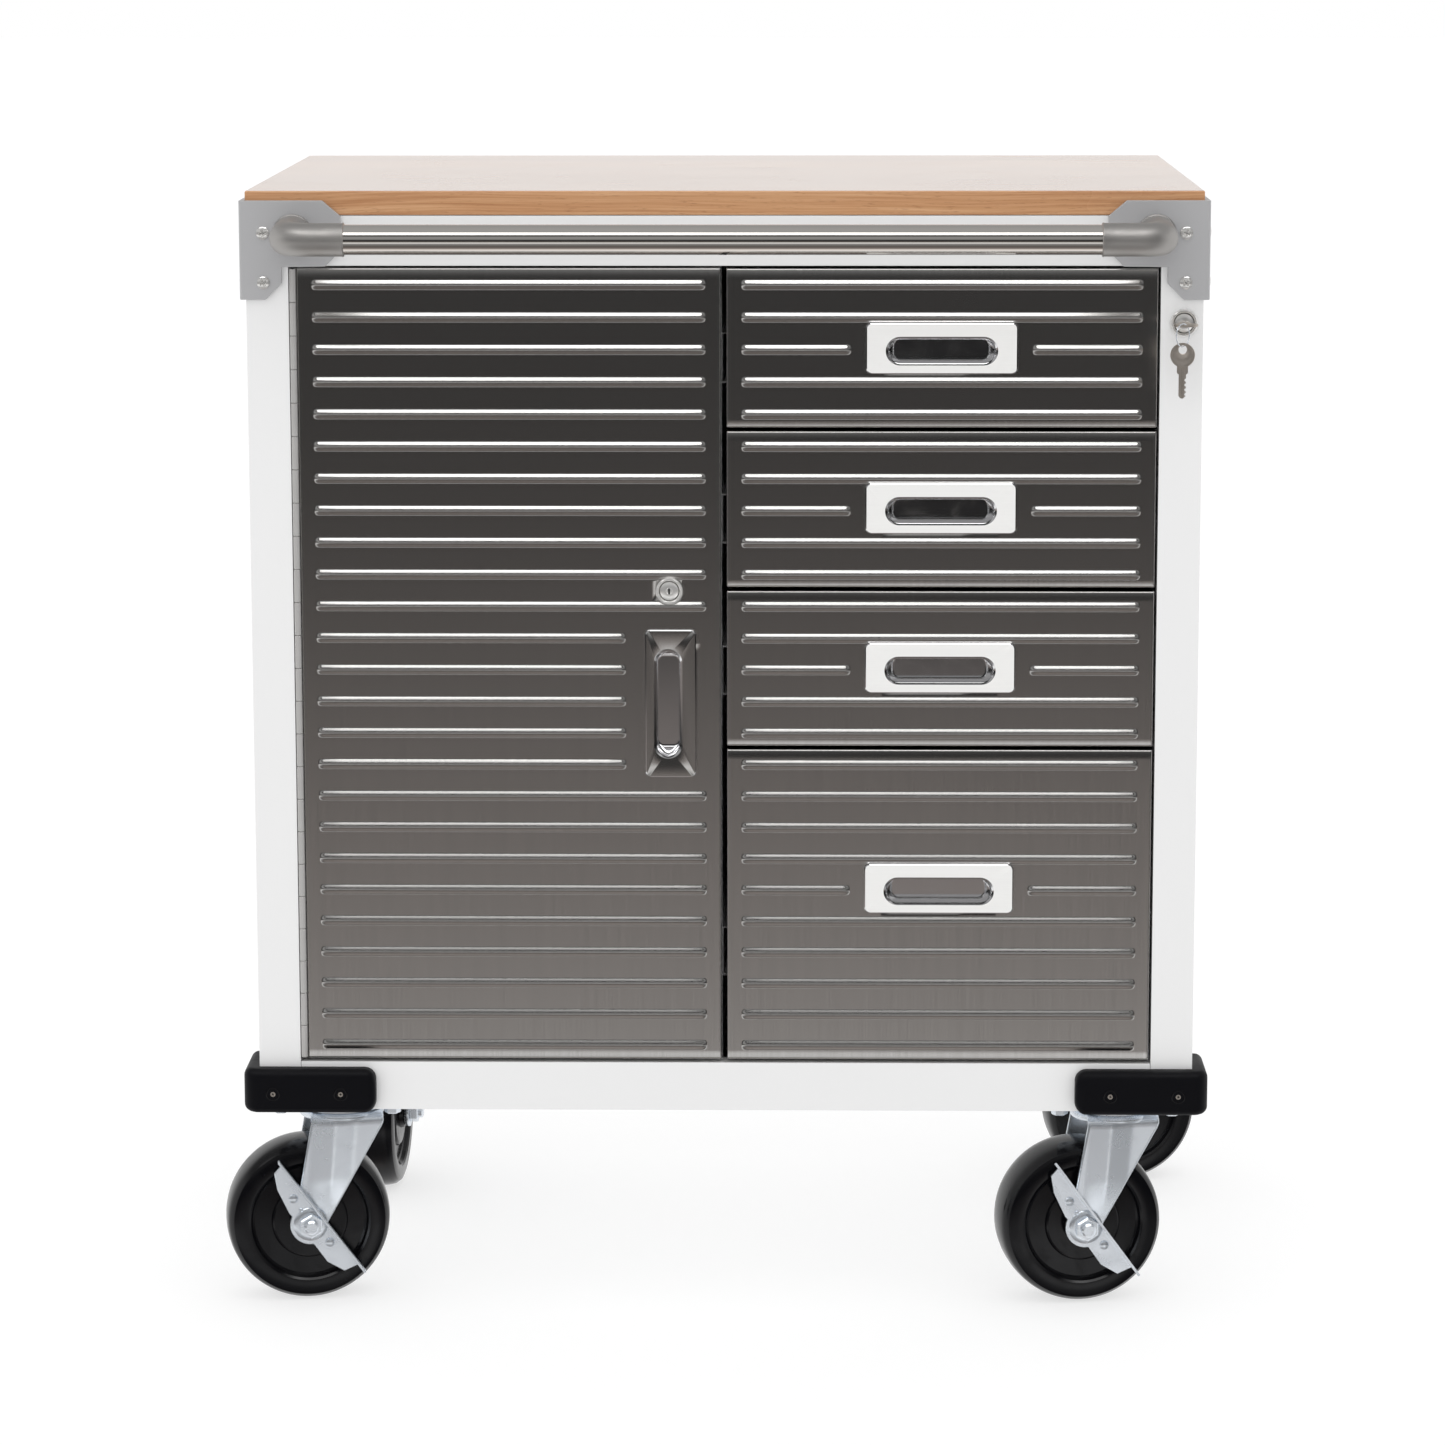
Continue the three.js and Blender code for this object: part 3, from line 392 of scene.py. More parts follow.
# %% Finish helpers
def new_finish(name, colour, roughness, metallic=0.0, **sockets):
    """A material with one Principled shader, and its Object coordinates."""
    material = bpy.data.materials.new(name)
    material.use_nodes = True
    tree = material.node_tree
    shader = tree.nodes["Principled BSDF"]
    shader.inputs["Base Color"].default_value = (*colour, 1)
    shader.inputs["Roughness"].default_value = roughness
    shader.inputs["Metallic"].default_value = metallic
    for label, value in sockets.items():
        shader.inputs[label.replace("_", " ")].default_value = value
    place = tree.nodes.new("ShaderNodeTexCoord").outputs["Object"]
    return material, tree, shader, place


def use_group(tree, group, place, **values):
    """The group placed in a material and given its own values."""
    node = add_node(tree, "ShaderNodeGroup", node_tree=group)
    tree.links.new(place, node.inputs["Vector"])
    for label, value in values.items():
        node.inputs[label].default_value = value
    return node


def add_bump(tree, shader, height, distance, strength=1.0):
    """A Bump node of that height in metres in front of the shader's Normal."""
    bump = add_node(tree, "ShaderNodeBump", Strength=strength, Distance=distance)
    tree.links.new(height, bump.inputs["Height"])
    tree.links.new(bump.outputs["Normal"], shader.inputs["Normal"])


def tint(tree, factor, colour):
    """A colour scaled by a factor from the surface."""
    return mix_colour(tree, factor, (0, 0, 0), colour)


# %% White powder coat
WHITE = (0.80, 0.80, 0.80)
SETTLED_DUST = (0.62, 0.60, 0.57)


def white_paint():
    """Semi-gloss white powder: an orange-peel skin, and faint dust on what faces up."""
    material, tree, shader, place = new_finish("white_powder_coat", WHITE, 0.32)
    dust = use_group(tree, DUST, place, Amount=0.25)
    colour = mix_colour(tree, dust.outputs["Mask"], WHITE, SETTLED_DUST)
    tree.links.new(colour, shader.inputs["Base Color"])
    smears = use_group(tree, SMEARS, place, Base=0.30, Amount=0.08)
    tree.links.new(smears.outputs["Roughness"], shader.inputs["Roughness"])
    add_bump(tree, shader, use_group(tree, POWDER, place).outputs["Height"], 0.00002)
    return material


# %% Brushed metal
def brushed(name, colour, roughness, stretch, depth, anisotropy, bump=0.000004, metallic=1.0):
    """Metal brushed one way: long scratches, and highlights that spread across them."""
    material, tree, shader, place = new_finish(name, colour, roughness, metallic, Anisotropic=anisotropy)
    scratches = use_group(tree, SCRATCHES, place, Stretch=stretch, Depth=depth, Roughness=roughness)
    tree.links.new(tint(tree, scratches.outputs["Tone"], colour), shader.inputs["Base Color"])
    tree.links.new(scratches.outputs["Roughness"], shader.inputs["Roughness"])
    tangent = add_node(tree, "ShaderNodeTangent", direction_type="UV_MAP", uv_map="grain")
    tree.links.new(tangent.outputs[0], shader.inputs["Tangent"])
    add_bump(tree, shader, scratches.outputs["Height"], bump)
    return material


# %% Plain metals
def plain_metal(name, colour, roughness, smear=0.06, skin=0.0, grain=900.0, metallic=1.0):
    """Metal with smears in its gloss and, where skin is given, a bump of that many metres."""
    material, tree, shader, place = new_finish(name, colour, roughness, metallic)
    smears = use_group(tree, SMEARS, place, Base=roughness, Amount=smear, Size=40.0)
    tree.links.new(smears.outputs["Roughness"], shader.inputs["Roughness"])
    if skin:
        add_bump(tree, shader, use_group(tree, POWDER, place, Grain=grain).outputs["Height"], skin)
    return material


# %% Black rubbers
GREY_DUST = (0.20, 0.19, 0.18)


def black_rubber(name, colour, roughness, dust, skin, ior=1.5):
    """Black rubber or tread: dust greys what faces up, and the skin is slightly pebbled."""
    material, tree, shader, place = new_finish(name, colour, roughness, IOR=ior)
    mask = use_group(tree, DUST, place, Amount=dust).outputs["Mask"]
    tree.links.new(mix_colour(tree, mask, colour, GREY_DUST), shader.inputs["Base Color"])
    smears = use_group(tree, SMEARS, place, Base=roughness, Amount=0.12, Size=25.0)
    tree.links.new(smears.outputs["Roughness"], shader.inputs["Roughness"])
    add_bump(tree, shader, use_group(tree, POWDER, place, Grain=1400.0).outputs["Height"], skin)
    return material


# %% [markdown]
# The worktop is made of beech strips glued side by side, so its colour steps a little from strip to
# strip while the grain runs along all of them. A flat wood texture could be wrapped round the board,
# but noise stretched along X gives grain that also runs correctly round every edge. Beech also has
# tiny dark flecks, which a second and much finer noise draws.

# %% Beech
def beech(strip=0.046):
    """Tone = strip step + long grain + flecks; strips are floor(y / strip)."""
    material, tree, shader, place = new_finish(
        "lacquered_beech", (0.6, 0.32, 0.14), 0.24, Coat_Weight=0.9, Coat_Roughness=0.10)
    parts = add_node(tree, "ShaderNodeSeparateXYZ")
    tree.links.new(place, parts.inputs[0])
    number = math_node(tree, "FLOOR", math_node(tree, "DIVIDE", parts.outputs["Y"], strip))
    pick = add_node(tree, "ShaderNodeTexWhiteNoise", noise_dimensions="1D")
    tree.links.new(number, pick.inputs["W"])
    shift = add_node(tree, "ShaderNodeVectorMath", operation="SCALE", Scale=5.0)
    tree.links.new(pick.outputs["Color"], shift.inputs[0])
    moved = add_node(tree, "ShaderNodeVectorMath", operation="ADD")
    tree.links.new(place, moved.inputs[0])
    tree.links.new(shift.outputs[0], moved.inputs[1])
    bend = add_node(tree, "ShaderNodeTexNoise", Scale=5.0, Detail=1.0)
    tree.links.new(moved.outputs[0], bend.inputs["Vector"])
    sway = add_node(tree, "ShaderNodeCombineXYZ")
    tree.links.new(math_node(tree, "MULTIPLY", bend.outputs["Fac"], 0.014), sway.inputs["Z"])
    swayed = add_node(tree, "ShaderNodeVectorMath", operation="ADD")
    tree.links.new(moved.outputs[0], swayed.inputs[0])
    tree.links.new(sway.outputs[0], swayed.inputs[1])
    grain = stretched_noise(tree, swayed.outputs[0], (6, 120, 420), 6.0, 0.66)
    fleck = stretched_noise(tree, swayed.outputs[0], (110, 1500, 1100), 2.0)
    wood = ramp_node(tree, grain, [(0.30, (0.46, 0.215, 0.095)), (0.45, (0.58, 0.30, 0.145)),
                                   (0.58, (0.66, 0.37, 0.19)), (0.75, (0.73, 0.44, 0.25))])
    step = math_node(tree, "MULTIPLY", math_node(tree, "SUBTRACT", pick.outputs["Value"], 0.5), 0.22)
    toned = mix_colour(tree, 1.0, wood, tint(tree, math_node(tree, "ADD", 0.93, step), (1, 1, 1)),
                       "MULTIPLY")
    dark = add_node(tree, "ShaderNodeMapRange")
    tree.links.new(fleck, dark.inputs["Value"])
    dark.inputs["From Min"].default_value = 0.60
    dark.inputs["From Max"].default_value = 0.74
    dark.inputs["To Max"].default_value = 0.45
    tree.links.new(mix_colour(tree, dark.outputs["Result"], toned, (0.25, 0.11, 0.045)),
                   shader.inputs["Base Color"])
    smears = use_group(tree, SMEARS, place, Base=0.24, Amount=0.04, Size=7.0)
    tree.links.new(smears.outputs["Roughness"], shader.inputs["Roughness"])
    add_bump(tree, shader, grain, 0.00001)
    return material


# %% All finishes
UPRIGHT_GRAIN = (1300, 1300, 22)
LEVEL_GRAIN = (9, 2600, 2600)
STEEL = (0.75, 0.735, 0.715)
PLATE = (0.92, 0.915, 0.90)
FINISH = {
    "white_paint": white_paint(),
    "stainless": brushed("brushed_stainless", STEEL, 0.25, UPRIGHT_GRAIN, 0.30, 0.9, 0.0000012),
    # The drawer plates are near-white and barely metal: a painted sheen for the overhead light that their
    # level brushing mirrors.
    "drawer_plate": brushed("level_plate_painted_sheen", PLATE, 0.5, LEVEL_GRAIN, 0.10, 0.8, metallic=0.15),
    "door_plate": brushed("brushed_upright_plate", STEEL, 0.25, UPRIGHT_GRAIN, 0.22, 0.9, 0.0000012),
    "chrome": plain_metal("polished_chrome", (0.86, 0.86, 0.87), 0.07, 0.05),
    # Bezels, plugs and bracket screws: this chrome is 30% matt near-white, a painted sheen that keeps
    # flat faces bright where the mirror would show the dark room.
    "chrome_and_painted_sheen": plain_metal("chrome_with_painted_sheen", (0.90, 0.89, 0.87), 0.14, 0.06, metallic=0.7),
    "bar_chrome": plain_metal("bar_chrome", (0.80, 0.77, 0.73), 0.06, 0.04),
    "zinc": plain_metal("bright_zinc", (0.86, 0.91, 0.97), 0.22, 0.07, metallic=0.82),
    "pewter": plain_metal("satin_casting", (0.44, 0.425, 0.41), 0.42, 0.06, 0.00003, 1500.0, 0.88),
    "bracket_silver": plain_metal("silver_powder", (0.50, 0.50, 0.51), 0.46, 0.05, 0.00003, 1100.0, 0.35),
    "beech": beech(),
    "black_rubber": black_rubber("bumper_rubber", (0.0035, 0.0035, 0.005), 0.42, 0.02, 0.00003, 1.2),
    "black_wheel": black_rubber("wheel_tread", (0.003, 0.003, 0.004), 0.14, 0.03, 0.000006, 1.35),
    "key_nickel": plain_metal("worn_nickel", (0.52, 0.47, 0.42), 0.32, 0.14, 0.00002, 700.0, 0.85),
    "hinge_steel": plain_metal("hinge_steel", (0.55, 0.54, 0.53), 0.32, 0.10, 0.00001, 600.0, 0.4),
    "keyhole": plain_metal("keyhole_shadow", (0.02, 0.02, 0.02), 0.6, 0.0, 0.0, 900.0, 0.0),
}
print("finishes:", len(FINISH))

# %% [markdown]
# ## How pieces are made
# A piece is a grid of points worked out with numpy: rings of points one after another, joined by
# quads. Closing the ends makes a solid. Parts that repeat, such as screws, are joined into one
# mesh for each body, because they are the same piece of metal as far as moving goes.

# %% Grids and lofts
def grid_faces(rows, columns, wrap=False):
    """Quads between neighbours of a rows x columns grid; wrap joins the last column to the first."""
    row = np.arange(rows - 1)[:, None] * columns
    column = np.arange(columns if wrap else columns - 1)[None, :]
    after = (column + 1) % columns
    quads = np.stack([row + column, row + after, row + after + columns, row + column + columns], -1)
    return quads.reshape(-1, 4).tolist()


def loft(rings):
    """A closed solid through rings of equal size, with a flat face at both ends."""
    rings = np.asarray(rings, float)
    count, size = rings.shape[:2]
    faces = grid_faces(count, size, wrap=True)
    last = (count - 1) * size
    faces.append(list(range(size))[::-1])
    faces.append([last + i for i in range(size)])
    return rings.reshape(-1, 3), faces


print("a loft of 3 squares has", len(loft(np.zeros((3, 4, 3)))[1]), "faces")


# %% Piece maker
def joined(shapes):
    """Several (points, faces) shapes as one."""
    points, faces, start = [], [], 0
    for shape_points, shape_faces in shapes:
        points.append(np.asarray(shape_points, float))
        faces.extend([[start + i for i in face] for face in shape_faces])
        start += len(shape_points)
    return np.concatenate(points), faces


def make_piece(name, shape, finish, node=None, body=None, smooth=35.0, closed=True):
    """A mesh object from (points, faces). It stands for node, and rides on node's body."""
    points, faces = shape
    mesh = bpy.data.meshes.new(name)
    mesh.from_pydata(np.asarray(points).tolist(), [], faces)
    shell = bmesh.new()
    shell.from_mesh(mesh)
    bmesh.ops.remove_doubles(shell, verts=shell.verts, dist=1e-6)
    bmesh.ops.dissolve_degenerate(shell, edges=shell.edges, dist=1e-7)
    if closed:
        bmesh.ops.recalc_face_normals(shell, faces=shell.faces)
    shell.to_mesh(mesh)
    shell.free()
    mesh.materials.append(FINISH[finish])
    mesh.polygons.foreach_set("use_smooth", [True] * len(mesh.polygons))
    mesh.set_sharp_from_angle(angle=math.radians(smooth))
    piece = bpy.data.objects.new(name, mesh)
    bpy.context.scene.collection.objects.link(piece)
    nodes = [node] if isinstance(node, str) else list(node or [])
    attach(piece, body or body_of[nodes[0]])
    if nodes:
        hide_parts(*nodes)
    return piece


# %% Grain map and live modifiers
def grain_map(piece, across):
    """A UV map whose U runs along the axis across, which is how brushed metal spreads light."""
    mesh = piece.data
    places = np.empty(len(mesh.vertices) * 3)
    mesh.vertices.foreach_get("co", places)
    places = places.reshape(-1, 3)
    corner = np.empty(len(mesh.loops), int)
    mesh.loops.foreach_get("vertex_index", corner)
    along_x, along_z = places[:, 0] + 0.37 * places[:, 1], places[:, 2] + 0.21 * places[:, 1]
    first, second = (along_x, along_z) if across == "X" else (along_z, along_x)
    layer = mesh.uv_layers.new(name="grain")
    layer.data.foreach_set("uv", np.stack([first, second], -1)[corner].ravel())


def finishing_bevel(piece, width, segments=2):
    """A small live bevel on the sharp edges."""
    bevel = piece.modifiers.new("edge_break", "BEVEL")
    bevel.width = width
    bevel.segments = segments
    bevel.limit_method = "ANGLE"
    bevel.angle_limit = math.radians(32)
    bevel.harden_normals = True
    bevel.use_clamp_overlap = True


def add_sheet(piece, thickness):
    """A live thickness on the inner side of a single skin."""
    wall = piece.modifiers.new("sheet", "SOLIDIFY")
    wall.thickness = thickness
    wall.offset = -1


# %% Profiles
def rounded_ring(width, height, radius, corner_steps=8):
    """Points (a, b) round a rectangle with round corners, anticlockwise from the right."""
    angle = np.linspace(0, math.pi / 2, corner_steps)
    arc = np.stack([np.cos(angle), np.sin(angle)], -1) * radius
    quarter_turn = np.array([[0, 1], [-1, 0]])
    rings = []
    for signs, turns in (((1, 1), 0), ((-1, 1), 1), ((-1, -1), 2), ((1, -1), 3)):
        centre = np.array(signs) * (np.array([width, height]) / 2 - radius)
        rings.append(centre + arc @ np.linalg.matrix_power(quarter_turn, turns))
    return np.concatenate(rings)


def turned(profile, centre, axis="Y", sides=48):
    """A solid of revolution: profile rows are (radius, distance along the axis)."""
    profile = np.asarray(profile, float)
    angle = np.linspace(0, 2 * math.pi, sides, endpoint=False)[None, :]
    first = profile[:, :1] * np.cos(angle)
    second = profile[:, :1] * np.sin(angle)
    along = np.repeat(profile[:, 1:], sides, 1)
    order = {"X": (along, first, second), "Y": (second, along, first), "Z": (first, second, along)}
    rings = np.stack(order[axis], -1) + np.asarray(centre)
    return loft(rings)


def cad_copy(node):
    """The CAD node's mesh as (points, faces), with its loose triangles joined into flat faces."""
    shell = bmesh.new()
    shell.from_mesh(frame["nodes"][node].data)
    bmesh.ops.remove_doubles(shell, verts=shell.verts, dist=1e-6)
    bmesh.ops.dissolve_limit(shell, angle_limit=math.radians(0.6), verts=shell.verts, edges=shell.edges)
    shell.verts.index_update()
    points = np.array([vertex.co[:] for vertex in shell.verts])
    faces = [[vertex.index for vertex in face.verts] for face in shell.faces]
    shell.free()
    return points, faces


def dress(node, finish, width=0.4 * MM, segments=2, name=None):
    """The CAD part itself, with its edges broken."""
    piece = make_piece(name or node + "_dressed", cad_copy(node), finish, node, closed=False, smooth=30)
    finishing_bevel(piece, width, segments)
    return piece


print("helpers ready")

# %% [markdown]
# ## Cabinet shell
# The real shell is folded from 1.2 mm sheet and sprayed white. The CAD parts already have those
# folds, so they are kept, and only their edges are broken: a sprayed edge is never razor sharp, and
# the small round catches the light that makes a thin sheet look like metal.

# %% Sheet-metal parts
SHEET_PARTS = ["side_left", "side_right", "back_panel", "bottom_pan", "top_pan", "divider", "shelf",
               "door_liner", *[f"drawer_{n}_box" for n in (1, 2, 3, 4)]]
for node in SHEET_PARTS:
    dress(node, "white_paint", 0.35 * MM)
for node in ("slide_frame_right", "lock_rod"):
    dress(node, "zinc", 0.25 * MM)
print("sheet parts:", len(SHEET_PARTS))

# %% [markdown]
# ## Worktop
# A solid beech board, planed flat, with its edges eased so that they don't splinter. The board is
# one box, so a wider bevel on the CAD part is enough; the wood itself is all in the material.

# %% Worktop
WORKTOP_EASE = 1.2 * MM
worktop = dress("worktop", "beech", WORKTOP_EASE, 3, "worktop_board")
print("worktop:", len(worktop.data.polygons), "faces before its bevel")

# %% [markdown]
# ## Pressed fronts
# The door and the drawer fronts are stainless pans with long beads pressed out of them, which keep
# thin sheet from drumming. A bead could be a separate half-round strip, but then it would meet the
# sheet in a hard line. A height field makes sheet and beads in one skin: each bead is the distance
# from its own middle line, put through a roof-shaped curve with a soft crest.

# %% Bead layout
BEAD_TOP = 0.7934
BEAD_PITCH = 0.02415
BEAD_COUNT = 25
BEAD_HALF = 3.7 * MM
BEAD_PROUD = 1.62 * MM
BEAD_MARGIN = 11 * MM
FOLD = 1.5 * MM
PAN_DEPTH = 18 * MM
PAN_SHEET = 1.0 * MM
bead_levels = BEAD_TOP - BEAD_PITCH * np.arange(BEAD_COUNT)
print("beads from", round(bead_levels[-1], 3), "to", round(bead_levels[0], 3))


# %% Pan grid
def lines_between(low, high, marks):
    """Sorted grid lines from low to high: the marks inside, and five lines round each fold."""
    fold = FOLD * (1 - np.cos(np.linspace(0, math.pi / 2, 5)))
    lines = np.concatenate([low + fold, high - fold, np.asarray(marks, float)])
    lines = np.unique(np.round(lines[(lines >= low) & (lines <= high)], 6))
    return lines[np.concatenate([[True], np.diff(lines) > 0.00008])]


def roof(distance, crest=0.16):
    """1 on a bead's middle line and 0 at its foot: a hyperbola, so the crest is round."""
    top = math.sqrt(1 + crest * crest)
    return (top - np.sqrt(np.minimum(distance, 1) ** 2 + crest * crest)) / (top - crest)


# Where grid lines cross a bead and its ends, as shares of BEAD_HALF: close where the roof bends.
HALF_BEAD_LINES = [0.15, 0.3, 0.45, 0.65, 0.85, 1, 1.08]
BEAD_LINES = [-share for share in HALF_BEAD_LINES[::-1]] + [0] + HALF_BEAD_LINES
END_LINES = np.array([-0.1, 0, 0.12, 0.3, 0.5, 0.75, 1.0])


def pan_lines(low, high, beads, holes):
    """The upright and level grid lines of a pan: those of its beads, its holes and its folds."""
    across = [line for x0, x1, _ in beads for end, way in ((x0, 1), (x1, -1))
              for line in end + way * BEAD_HALF * END_LINES]
    across += [edge for hole in holes for edge in hole[:2]]
    across += list(np.linspace(low.x, high.x, 12)[1:-1])
    up = [z + BEAD_HALF * share for _, _, z in beads for share in BEAD_LINES]
    up += [edge for hole in holes for edge in hole[2:]]
    return lines_between(low.x, high.x, across), lines_between(low.z, high.z, up)


def pan_depth(x, z, low, high, beads):
    """y = FRONT + fold at the rim - roof(distance to the bead line / BEAD_HALF) * BEAD_PROUD."""
    rise = np.zeros_like(x)
    for x0, x1, level in beads:
        beyond = np.maximum(x0 + BEAD_HALF - x, 0) + np.maximum(x - x1 + BEAD_HALF, 0)
        rise = np.maximum(rise, roof(np.hypot(beyond, z - level) / BEAD_HALF))
    rim = np.zeros_like(x)
    for inset in (np.minimum(x - low.x, high.x - x), np.minimum(z - low.z, high.z - z)):
        drop = np.sqrt(np.maximum(FOLD ** 2 - np.maximum(FOLD - inset, 0) ** 2, 0))
        rim = rim + (FOLD - drop)
    return FRONT + rim - BEAD_PROUD * rise


print("lines across each bead:", len(BEAD_LINES))


# %% Holes and flange
def inside_holes(middles, holes):
    """True for each face middle that lies in one of the holes (x0, x1, z0, z1)."""
    x, z = middles[:, 0], middles[:, 2]
    found = np.zeros(len(middles), bool)
    for x0, x1, z0, z1 in holes:
        found |= (x > x0) & (x < x1) & (z > z0) & (z < z1)
    return found


def flange_of(points, rows, columns):
    """The points and faces of the wall that folds back from the rim of a rows x columns grid."""
    index = np.arange(columns * rows).reshape(rows, columns)
    border = np.concatenate([index[0], index[1:, -1], index[-1, -2::-1], index[-2:0:-1, 0]])
    back = points[border].copy()
    back[:, 1] = FRONT + PAN_DEPTH
    around = np.arange(len(border))
    after = (around + 1) % len(border)
    first = len(points)
    return back, np.stack([border[around], first + around, first + after, border[after]], -1)


def without_loose_points(points, faces):
    """The same faces on only the points that they use."""
    used = np.unique(np.concatenate([np.ravel(face) for face in faces]))
    renumber = np.full(len(points), -1)
    renumber[used] = np.arange(len(used))
    return points[used], [[int(renumber[i]) for i in face] for face in faces]


# %% Pressed pan
def pressed_pan(name, node, beads, holes):
    """The sheet with its beads, its holes left open, and its flange; a modifier gives it thickness."""
    low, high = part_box(node)
    columns, rows = pan_lines(low, high, beads, holes)
    x, z = np.meshgrid(columns, rows)
    points = np.stack([x, pan_depth(x, z, low, high, beads), z], -1).reshape(-1, 3)
    quads = np.array(grid_faces(*x.shape))
    quads = quads[~inside_holes(points[quads].mean(1), holes)]
    back, flange = flange_of(points, *x.shape)
    shape = without_loose_points(np.concatenate([points, back]), quads.tolist() + flange.tolist())
    piece = make_piece(name, shape, "stainless", node, closed=False, smooth=50)
    grain_map(piece, "X")
    add_sheet(piece, PAN_SHEET)
    print(name, len(rows), "x", len(columns))
    return piece


# %% Door and drawer fronts
PLATE_LENGTH = 112.7 * MM
PLATE_HEIGHT = 38.2 * MM
CUP_LENGTH = 82.5 * MM
CUP_HEIGHT = 20.4 * MM
CUP_DROP = 1.9 * MM
CUP_ROOM = 2 * MM
LOCK_ROOM = 7.2 * MM
SHORT_BEAD_GAP = 14.7 * MM
# A bead whose line lies inside the plate's edge by less than this runs on behind the plate.
PLATE_GRAZE = 4 * MM


def middle_of(node):
    """The middle of a CAD node's box."""
    low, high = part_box(node)
    return (low + high) / 2


def cup_hole(x, z, across, up):
    """The hole (x0, x1, z0, z1) for a cup across wide and up high, with CUP_ROOM round it."""
    return (x - across / 2 - CUP_ROOM, x + across / 2 + CUP_ROOM,
            z - up / 2 - CUP_ROOM, z + up / 2 + CUP_ROOM)


door_low, door_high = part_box("door_skin")
door_grip = middle_of("door_handle")
door_lock = middle_of("door_lock_body")
beside = np.abs(bead_levels - door_grip.z) < PLATE_LENGTH / 2
door_left, door_right = door_low.x + BEAD_MARGIN, door_high.x - BEAD_MARGIN
short_end = door_grip.x - PLATE_HEIGHT / 2 - SHORT_BEAD_GAP
door_beads = [(door_left, short_end if near else door_right, z)
              for z, near in zip(bead_levels, beside)]
lock_hole = (door_lock.x - LOCK_ROOM, door_lock.x + LOCK_ROOM,
             door_lock.z - LOCK_ROOM, door_lock.z + LOCK_ROOM)
door_cup = cup_hole(door_grip.x - CUP_DROP, door_grip.z, CUP_HEIGHT, CUP_LENGTH)
pressed_pan("door_skin_pressed", "door_skin", door_beads, [door_cup, lock_hole])
for number in (1, 2, 3, 4):
    node = f"drawer_{number}_front"
    low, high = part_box(node)
    grip = middle_of(f"drawer_{number}_handle")
    clear = PLATE_LENGTH / 2 + BEAD_MARGIN
    beads = []
    for z in bead_levels[(bead_levels > low.z) & (bead_levels < high.z)]:
        left, right = low.x + BEAD_MARGIN, high.x - BEAD_MARGIN
        if abs(z - grip.z) > PLATE_HEIGHT / 2 - PLATE_GRAZE:
            beads.append((left, right, z))
        else:
            beads += [(left, grip.x - clear, z), (grip.x + clear, right, z)]
    cup = cup_hole(grip.x, grip.z - CUP_DROP, CUP_LENGTH, CUP_HEIGHT)
    pressed_pan(node + "_pressed", node, beads, [cup])

# %% [markdown]
# ## Pull handles
# Each handle is one pressing: a flat plate, brushed along its length, with a polished finger cup
# that curves in from both ends. A loft of rings from the back of the cup, round the plate's edge
# and down into the cup gives the whole pressing as one closed skin. The door's handle is the same
# part turned upright, so its brushing is upright too and it shades like the door round it. On the
# drawers the plate is near-white and barely metal: a painted sheen for the overhead light that its
# level brushing mirrors.

# %% Handle rings
# (growth over the cup, corner radius, depth) in mm: the outside of the cup, from its back forward.
CUP_BACK_RINGS = [(2, 11.1, 14.4), (2.4, 11.3, 1), (2.4, 11.3, -0.2)]
# (inset from the plate's outline, depth) in mm: the plate's back, edge and face.
PLATE_RINGS = [(0, -0.2), (0, -1.5), (0.25, -2.0), (0.8, -2.3)]
PLATE_CORNER = 4.3
# (growth in length, growth in height, depth, corner radius) in mm: the lip and inside of the cup.
CUP_RINGS = [
    (1.6, 1.6, -2.5, 11.1), (1.0, 1.0, -2.45, 10.9), (-2.2, -2.2, -1.65, 9.6),
    (-2.8, -2.8, -1.2, 9.3), (-3.0, -3.0, 2, 9.2), (-3.8, -3.0, 5, 9.0), (-5.6, -3.1, 8, 8.2),
    (-8.0, -3.2, 10.4, 7.0), (-10.2, -3.3, 12.0, 5.8), (-11.6, -3.5, 12.8, 5.0),
    (-12.8, -3.9, 13.1, 4.4), (-13.6, -4.6, 13.15, 4.0), (-15.4, -6.4, 13.15, 3.2),
    (-60, -15, 13.15, 1.0),
]


def handle_rings():
    """Rings (length, height, radius, depth, drop), outside of the cup first, cup floor last."""
    rings = []
    for growth, radius, depth in CUP_BACK_RINGS:
        rings.append((CUP_LENGTH + growth * MM, CUP_HEIGHT + growth * MM,
                      radius * MM, depth * MM, CUP_DROP))
    for inset, depth in PLATE_RINGS:
        rings.append((PLATE_LENGTH - 2 * inset * MM, PLATE_HEIGHT - 2 * inset * MM,
                      PLATE_CORNER * MM - inset * MM * 0.5, depth * MM, 0.0))
    for grow_length, grow_height, depth, radius in CUP_RINGS:
        rings.append((CUP_LENGTH + grow_length * MM, CUP_HEIGHT + grow_height * MM,
                      radius * MM, depth * MM, CUP_DROP))
    return rings


print("handle rings:", len(handle_rings()))


# %% Handle shape
def handle_shape(x, z, upright):
    """The rings placed about the plate's middle; upright swaps length for height."""
    result = []
    for length, height, radius, depth, drop in handle_rings():
        radius = min(radius, height / 2 - 0.05 * MM)
        outline = rounded_ring(length, height, radius, 10)
        along, up = outline[:, 0], outline[:, 1] - drop
        if upright:
            along, up = up, -along
        result.append(np.stack([x + along, np.full(len(along), FRONT + depth), z + up], -1))
    return loft(result)


# %% Handles
PLATE_FACE = FRONT - 2.25 * MM
LEVEL_ENOUGH = 0.97


def add_handle(node, upright):
    """The pressing, polished but for its flat plate, which is brushed along its length."""
    grip = middle_of(node)
    name = node + "_pressing"
    piece = make_piece(name, handle_shape(grip.x, grip.z, upright), "chrome", node, smooth=24)
    piece.data.materials.append(FINISH["door_plate" if upright else "drawer_plate"])
    for face in piece.data.polygons:
        flat = abs(face.normal.y) > LEVEL_ENOUGH and face.center.y < PLATE_FACE
        face.material_index = 1 if flat else 0
    grain_map(piece, "X" if upright else "Z")
    return piece


handles = [add_handle("door_handle", True)]
handles += [add_handle(f"drawer_{number}_handle", False) for number in (1, 2, 3, 4)]
print("handles:", len(handles))

